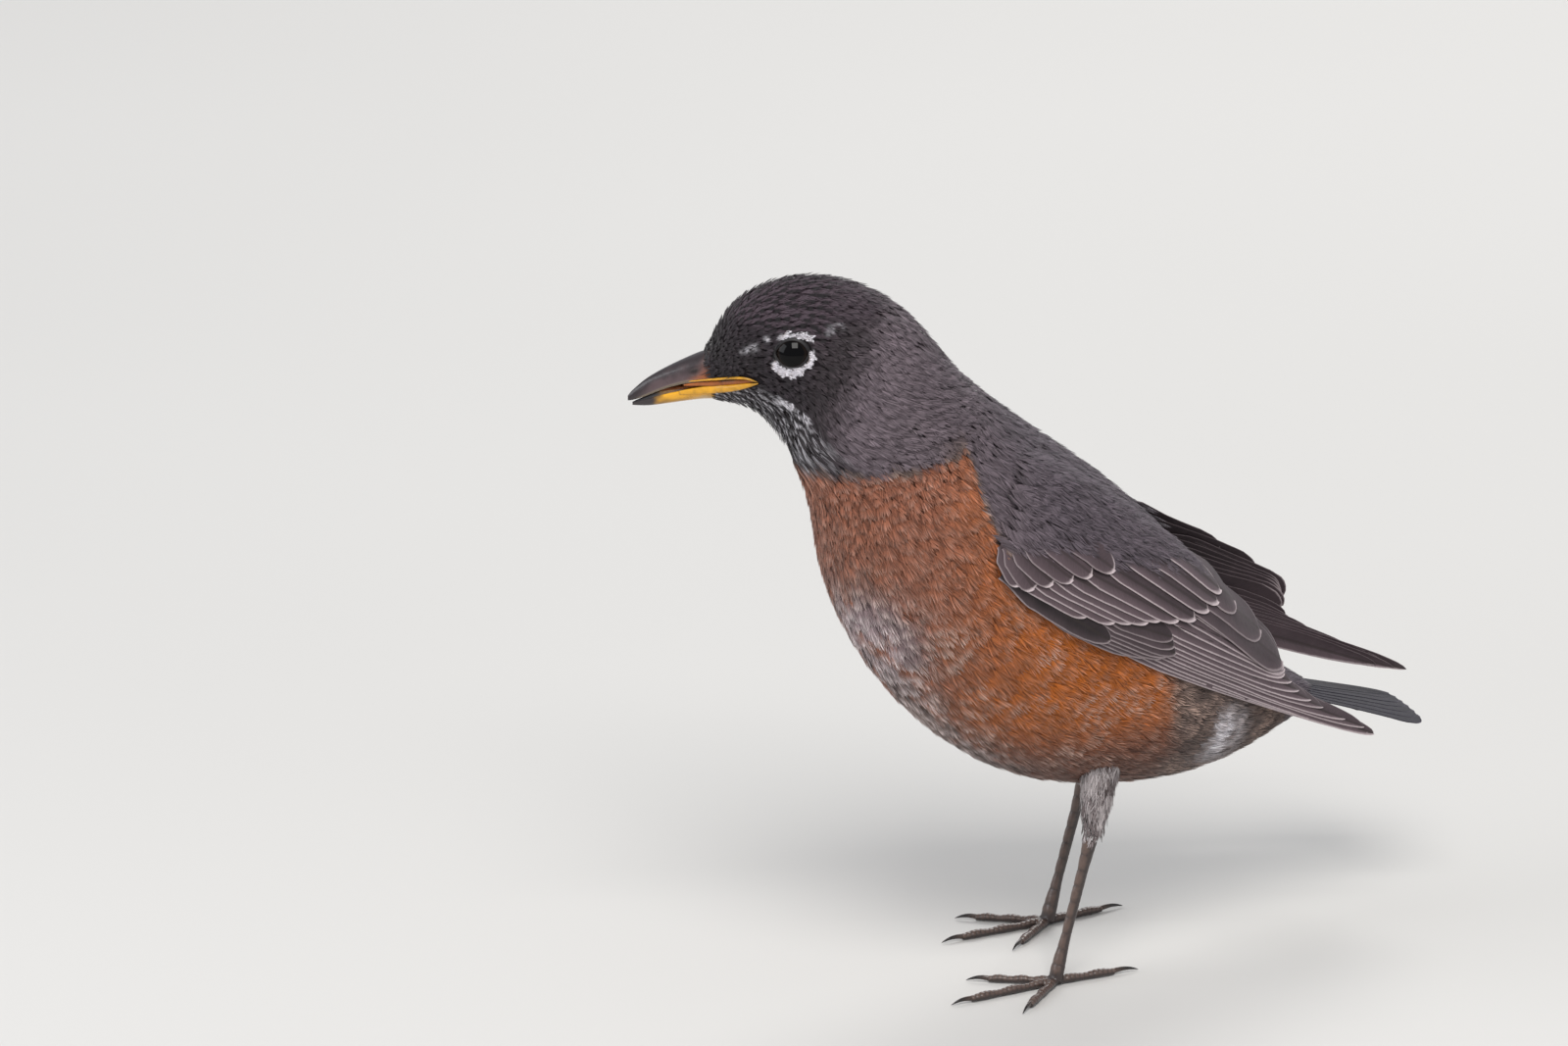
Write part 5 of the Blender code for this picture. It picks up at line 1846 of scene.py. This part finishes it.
def make_legs():
    """The scaled feet and their claws in place of their solids."""
    for name, _ in SIDES:
        skin = object_from(foot_skin(name), f"foot_{name}_scales")
        places, normals = vertex_places(skin), vertex_values(skin, "normal")
        show = scutes(places, normals, name)
        grain = noise(places, 0.45) - 0.5
        places = places + normals * (0.16 * (show - 0.6) + 0.06 * grain)[:, None]
        places[:, 2] = np.maximum(places[:, 2], 0.02)
        skin.data.vertices.foreach_set("co", (places * MM).astype(np.float32).ravel())
        skin.data.update()
        share = np.clip(show + 0.5 * grain, 0.0, 1.0)
        tinted(skin.data, "Horn", mixed(tone("leg_dark"), tone("leg_brown"), share))
        nodes = [f"leg_{name}_tarsus"] + [f"toe_{name}_{toe}" for toe in TOE_NAMES]
        finished(skin, horn_material("Foot scales", roughness=0.42), nodes)
        for toe in TOE_NAMES:
            make_claw(name, toe)


def make_claw(name, toe):
    """A claw that curves from inside the end of its toe to a fine point near the ground."""
    _, root, way, claw, half = toe_line(name, toe)
    share = np.linspace(0.0, 1.0, 22)
    line = root + way * ((claw + 1.0) * share - 1.0)[:, None]
    line[:, 2] = half * 0.7 + 0.5 * np.sin(share * math.pi * 0.9) - (half * 0.7 - 0.2) * share ** 1.9
    radius = 0.54 * half * (1.0 - share ** 1.5) ** 0.75 + 0.03
    piece = lofted(f"claw_{name}_{toe}_horn", tube(line, radius, radius * 0.72))
    reach = (vertex_places(piece) - root) @ way
    dark = ramp(reach, 0.0, 0.6 * claw)
    tinted(piece.data, "Horn", mixed(tone("leg_brown") * 0.6, tone("claw_dark"), dark))
    return finished(piece, horn_material("Claw horn", roughness=0.28), [f"claw_{name}_{toe}"])


THIGH_ROWS, THIGH_COLUMNS = 24, 40


def thigh_sheet(name, side):
    """A sheet round one thigh, from inside the flank down to the ankle."""
    bottom = shank_ends(name)[1] + (0.2, 0.0, -1.0)
    top = within(f"leg_{name}_tibia", 0.5, 0.5, 1.0) + (1.5, side, 2.0)
    share = np.linspace(0.0, 1.0, THIGH_ROWS)
    line = top + (bottom - top) * share[:, None]
    length = np.linalg.norm(bottom - top)
    radius = np.interp(share, (0.0, 0.3, 0.7, 0.93, 1.0), (5.0, 4.2, 3.2, 2.4, 2.1))
    angles = turns(THIGH_COLUMNS)
    ring = np.stack([np.cos(angles), np.sin(angles), np.zeros(THIGH_COLUMNS)], -1)
    places = line[:, None] + ring * radius[:, None, None]
    step = (length / (THIGH_ROWS - 1), 2 * math.pi / THIGH_COLUMNS)
    return Sheet(places, step, True, lambda grid: grid - line[:, None]), length


def paint_thigh(places, x, y, draw):
    """Whitish thigh feathers with grey-brown roots and streaks."""
    tips = places[:, :, 6]
    streak = ramp(noise(tips, 2.0) + draw.normal(0.0, 0.14, tips.shape[:2]), 0.35, 0.7)
    light = draw.normal(1.0, 0.18, tips.shape[:2])[..., None, None]
    ground = mixed(tone("thigh_grey"), tone("thigh_pale"), streak)[:, :, None]
    return np.clip(mixed(tone("down"), ground, ramp(x, 0.0, 0.4)) * np.clip(light, 0.6, 1.5), 0.0, 1.0)


def make_thighs():
    """The feathered thighs."""
    for name, side in SIDES:
        sheet, length = thigh_sheet(name, side)
        draw = draws("thigh")
        u, v = scattered(sheet, 0.0, length - 1.8, even_gap(1.25), draw)
        count = len(u)
        flock = {
            "u": u, "v": v, "turn": draw.normal(0.0, 0.12, count),
            "length": np.interp(u, (0.0, length), (6.5, 3.0)) * draw.uniform(0.85, 1.1, count),
            "width": np.interp(u, (0.0, length), (4.0, 2.0)), "low": np.full(count, -0.9),
            "high": draw.uniform(-0.1, 0.45, count), "barb": np.full(count, 0.2),
        }
        coat = Coat()
        grow(coat, sheet, flock, BARBS["thigh"], paint_thigh, draw)
        finished(coat.build(f"thigh_{name}_plumage"), plume_material())


# ---- coat

def half_of(sheet, flock, hand):
    """The feathers on one side of the bird: 1 for the left and -1 for the right."""
    turns = (flock["v"] / (BODY_COLUMNS * sheet.step[1])) % 1.0
    return chosen(flock, (turns < 0.5) == (hand > 0))


def make_body_plumage():
    """The soft coat of the head, neck, breast and belly."""
    parts = lay_body()
    crown = (BODY, parts["head"], paint_crown, "head", "head")
    arcs = (BODY, lay_eye_arcs(), paint_white, "arcs", "arcs")
    plumage_piece("head_plumage", [crown, arcs])
    plumage_piece("neck_plumage", [(BODY, parts["neck"], paint_plumage, "neck", "neck")])
    for part in ("breast", "belly"):
        for name, side in SIDES:
            flock = half_of(BODY, parts[part], side)
            grown = [(BODY, flock, paint_plumage, part, name + " side")]
            plumage_piece(f"{part}_{name}_plumage", grown)


def make_mantle():
    """The soft coat of the back, the rump and the front of the folded wings."""
    grown = [(MANTLE, lay_mantle(), paint_plumage, "mantle", "mantle")]
    plumage_piece("mantle_plumage", grown)


# ---- stage

VIEW_FROM = np.array((-0.4755, -0.8236, 0.3090))  # from the bird to the camera
VIEW_TARGET = (0.196, 0.875, 0.627)  # shares of the solids' box
VIEW_DISTANCE = 2.84  # metres
LENS = 300.0
FLOOR_RADIUS = 8.0  # metres
# Soft lamps: name, place, size, power and colour
LAMPS = (
    ("key light", (-0.5, -1.0, 1.5), 0.9, 25.0, (1.0, 0.98, 0.95)),
    ("fill light", (-1.3, 0.3, 0.7), 0.9, 7.0, (0.93, 0.96, 1.0)),
    ("rim light", (0.9, 0.9, 1.1), 0.8, 12.0, (1.0, 0.99, 0.97)),
)
SKY_COLOUR, SKY_STRENGTH = (0.9, 0.93, 1.0, 1.0), 0.46


def area_light(target, name, place, size, power, colour):
    """A soft square lamp aimed at a point; places and sizes in metres."""
    lamp = bpy.data.lights.new(name, "AREA")
    lamp.size = size
    lamp.energy = power
    lamp.color = colour
    made = placed(name, lamp)
    made.location = place
    made.rotation_euler = (Vector(target) - Vector(place)).to_track_quat("-Z", "Y").to_euler()


def make_stage():
    """Pale floor, soft studio light and the camera."""
    low, high = CAD_BOX
    target = Vector([a + (b - a) * share for a, b, share in zip(low, high, VIEW_TARGET)])
    camera = bpy.data.cameras.new("camera")
    camera.lens = LENS
    camera.clip_start, camera.clip_end = 0.1, 50.0
    holder = placed("camera", camera)
    holder.location = target + Vector(VIEW_FROM) * VIEW_DISTANCE
    holder.rotation_euler = Vector(-VIEW_FROM).to_track_quat("-Z", "Y").to_euler()
    bpy.context.scene.camera = holder
    bm = bmesh.new()
    bmesh.ops.create_circle(bm, cap_ends=True, segments=64, radius=FLOOR_RADIUS)
    floor = object_from(bm, "floor")
    material, shader, wire = new_material("Floor", (0.6, 0.59, 0.57), 0.9)
    cloud = wire.noise(wire.own_place(), 2.0, 2.0)
    wire.give(shader["Base Color"], wire.blend(cloud, (0.58, 0.57, 0.55, 1.0), (0.64, 0.63, 0.61, 1.0)))
    floor.data.materials.append(material)
    for lamp in LAMPS:
        area_light((low + high) / 2, *lamp)
    world = bpy.data.worlds.new("studio")
    world.use_nodes = True
    sky = world.node_tree.nodes["Background"].inputs
    sky["Color"].default_value = SKY_COLOUR
    sky["Strength"].default_value = SKY_STRENGTH
    bpy.context.scene.world = world
    bpy.context.scene.view_settings.view_transform = "Standard"


# ---- add-on

class ROBIN_OT_skin(bpy.types.Operator):
    """Make the skin under the coat"""
    bl_idname = "robin.skin"
    bl_label = "Skin"

    def execute(self, context):
        make_skin()
        return {"FINISHED"}


class ROBIN_OT_body_plumage(bpy.types.Operator):
    """Make the soft feathers of the head, neck, breast and belly"""
    bl_idname = "robin.body_plumage"
    bl_label = "Body plumage"

    def execute(self, context):
        make_body_plumage()
        return {"FINISHED"}


class ROBIN_OT_mantle(bpy.types.Operator):
    """Make the soft feathers of the back, rump and front of the wings"""
    bl_idname = "robin.mantle"
    bl_label = "Mantle"

    def execute(self, context):
        make_mantle()
        return {"FINISHED"}


class ROBIN_OT_wings(bpy.types.Operator):
    """Make the stiff feathers of both folded wings"""
    bl_idname = "robin.wings"
    bl_label = "Wings"

    def execute(self, context):
        for name, _ in SIDES:
            make_wing(name)
        return {"FINISHED"}


class ROBIN_OT_tail(bpy.types.Operator):
    """Make the tail feathers"""
    bl_idname = "robin.tail"
    bl_label = "Tail"

    def execute(self, context):
        make_tail()
        return {"FINISHED"}


class ROBIN_OT_bill(bpy.types.Operator):
    """Make the bill, the lining of the mouth and its corners"""
    bl_idname = "robin.bill"
    bl_label = "Bill"

    def execute(self, context):
        make_bill()
        return {"FINISHED"}


class ROBIN_OT_eyes(bpy.types.Operator):
    """Make the eyes and their lids"""
    bl_idname = "robin.eyes"
    bl_label = "Eyes"

    def execute(self, context):
        make_eyes()
        return {"FINISHED"}


class ROBIN_OT_legs(bpy.types.Operator):
    """Make the scaled legs, the toes, the claws and the feathered thighs"""
    bl_idname = "robin.legs"
    bl_label = "Legs"

    def execute(self, context):
        make_legs()
        make_thighs()
        return {"FINISHED"}


class ROBIN_OT_stage(bpy.types.Operator):
    """Make the floor, the lights and the camera"""
    bl_idname = "robin.stage"
    bl_label = "Stage"

    def execute(self, context):
        make_stage()
        return {"FINISHED"}


OPERATORS = (ROBIN_OT_skin, ROBIN_OT_body_plumage, ROBIN_OT_mantle, ROBIN_OT_wings, ROBIN_OT_tail,
             ROBIN_OT_bill, ROBIN_OT_eyes, ROBIN_OT_legs, ROBIN_OT_stage)


class ROBIN_PT_panel(bpy.types.Panel):
    """Lists the robin's pieces and settings in the sidebar"""
    bl_idname = "ROBIN_PT_panel"
    bl_label = "Robin"
    bl_space_type = "VIEW_3D"
    bl_region_type = "UI"
    bl_category = "Robin"

    def draw(self, context):
        for step in OPERATORS:
            self.layout.operator(step.bl_idname)
        for settings in (context.scene.robin_sizes, context.scene.robin_colours):
            column = self.layout.column()
            for name in type(settings).__annotations__:
                column.prop(settings, name)


CLASSES = (RobinColours, RobinSizes, *OPERATORS, ROBIN_PT_panel)


def register():
    """Adds the classes and the settings to Blender."""
    for item in CLASSES:
        bpy.utils.register_class(item)
    bpy.types.Scene.robin_colours = PointerProperty(type=RobinColours)
    bpy.types.Scene.robin_sizes = PointerProperty(type=RobinSizes)


def unregister():
    """Takes the settings and the classes out of Blender."""
    del bpy.types.Scene.robin_sizes
    del bpy.types.Scene.robin_colours
    for item in reversed(CLASSES):
        bpy.utils.unregister_class(item)


def main():
    """Makes every piece and the stage."""
    register()
    bpy.ops.robin.skin()
    bpy.ops.robin.body_plumage()
    bpy.ops.robin.mantle()
    bpy.ops.robin.wings()
    bpy.ops.robin.tail()
    bpy.ops.robin.bill()
    bpy.ops.robin.eyes()
    bpy.ops.robin.legs()
    bpy.ops.robin.stage()


if __name__ == "__main__":
    main()
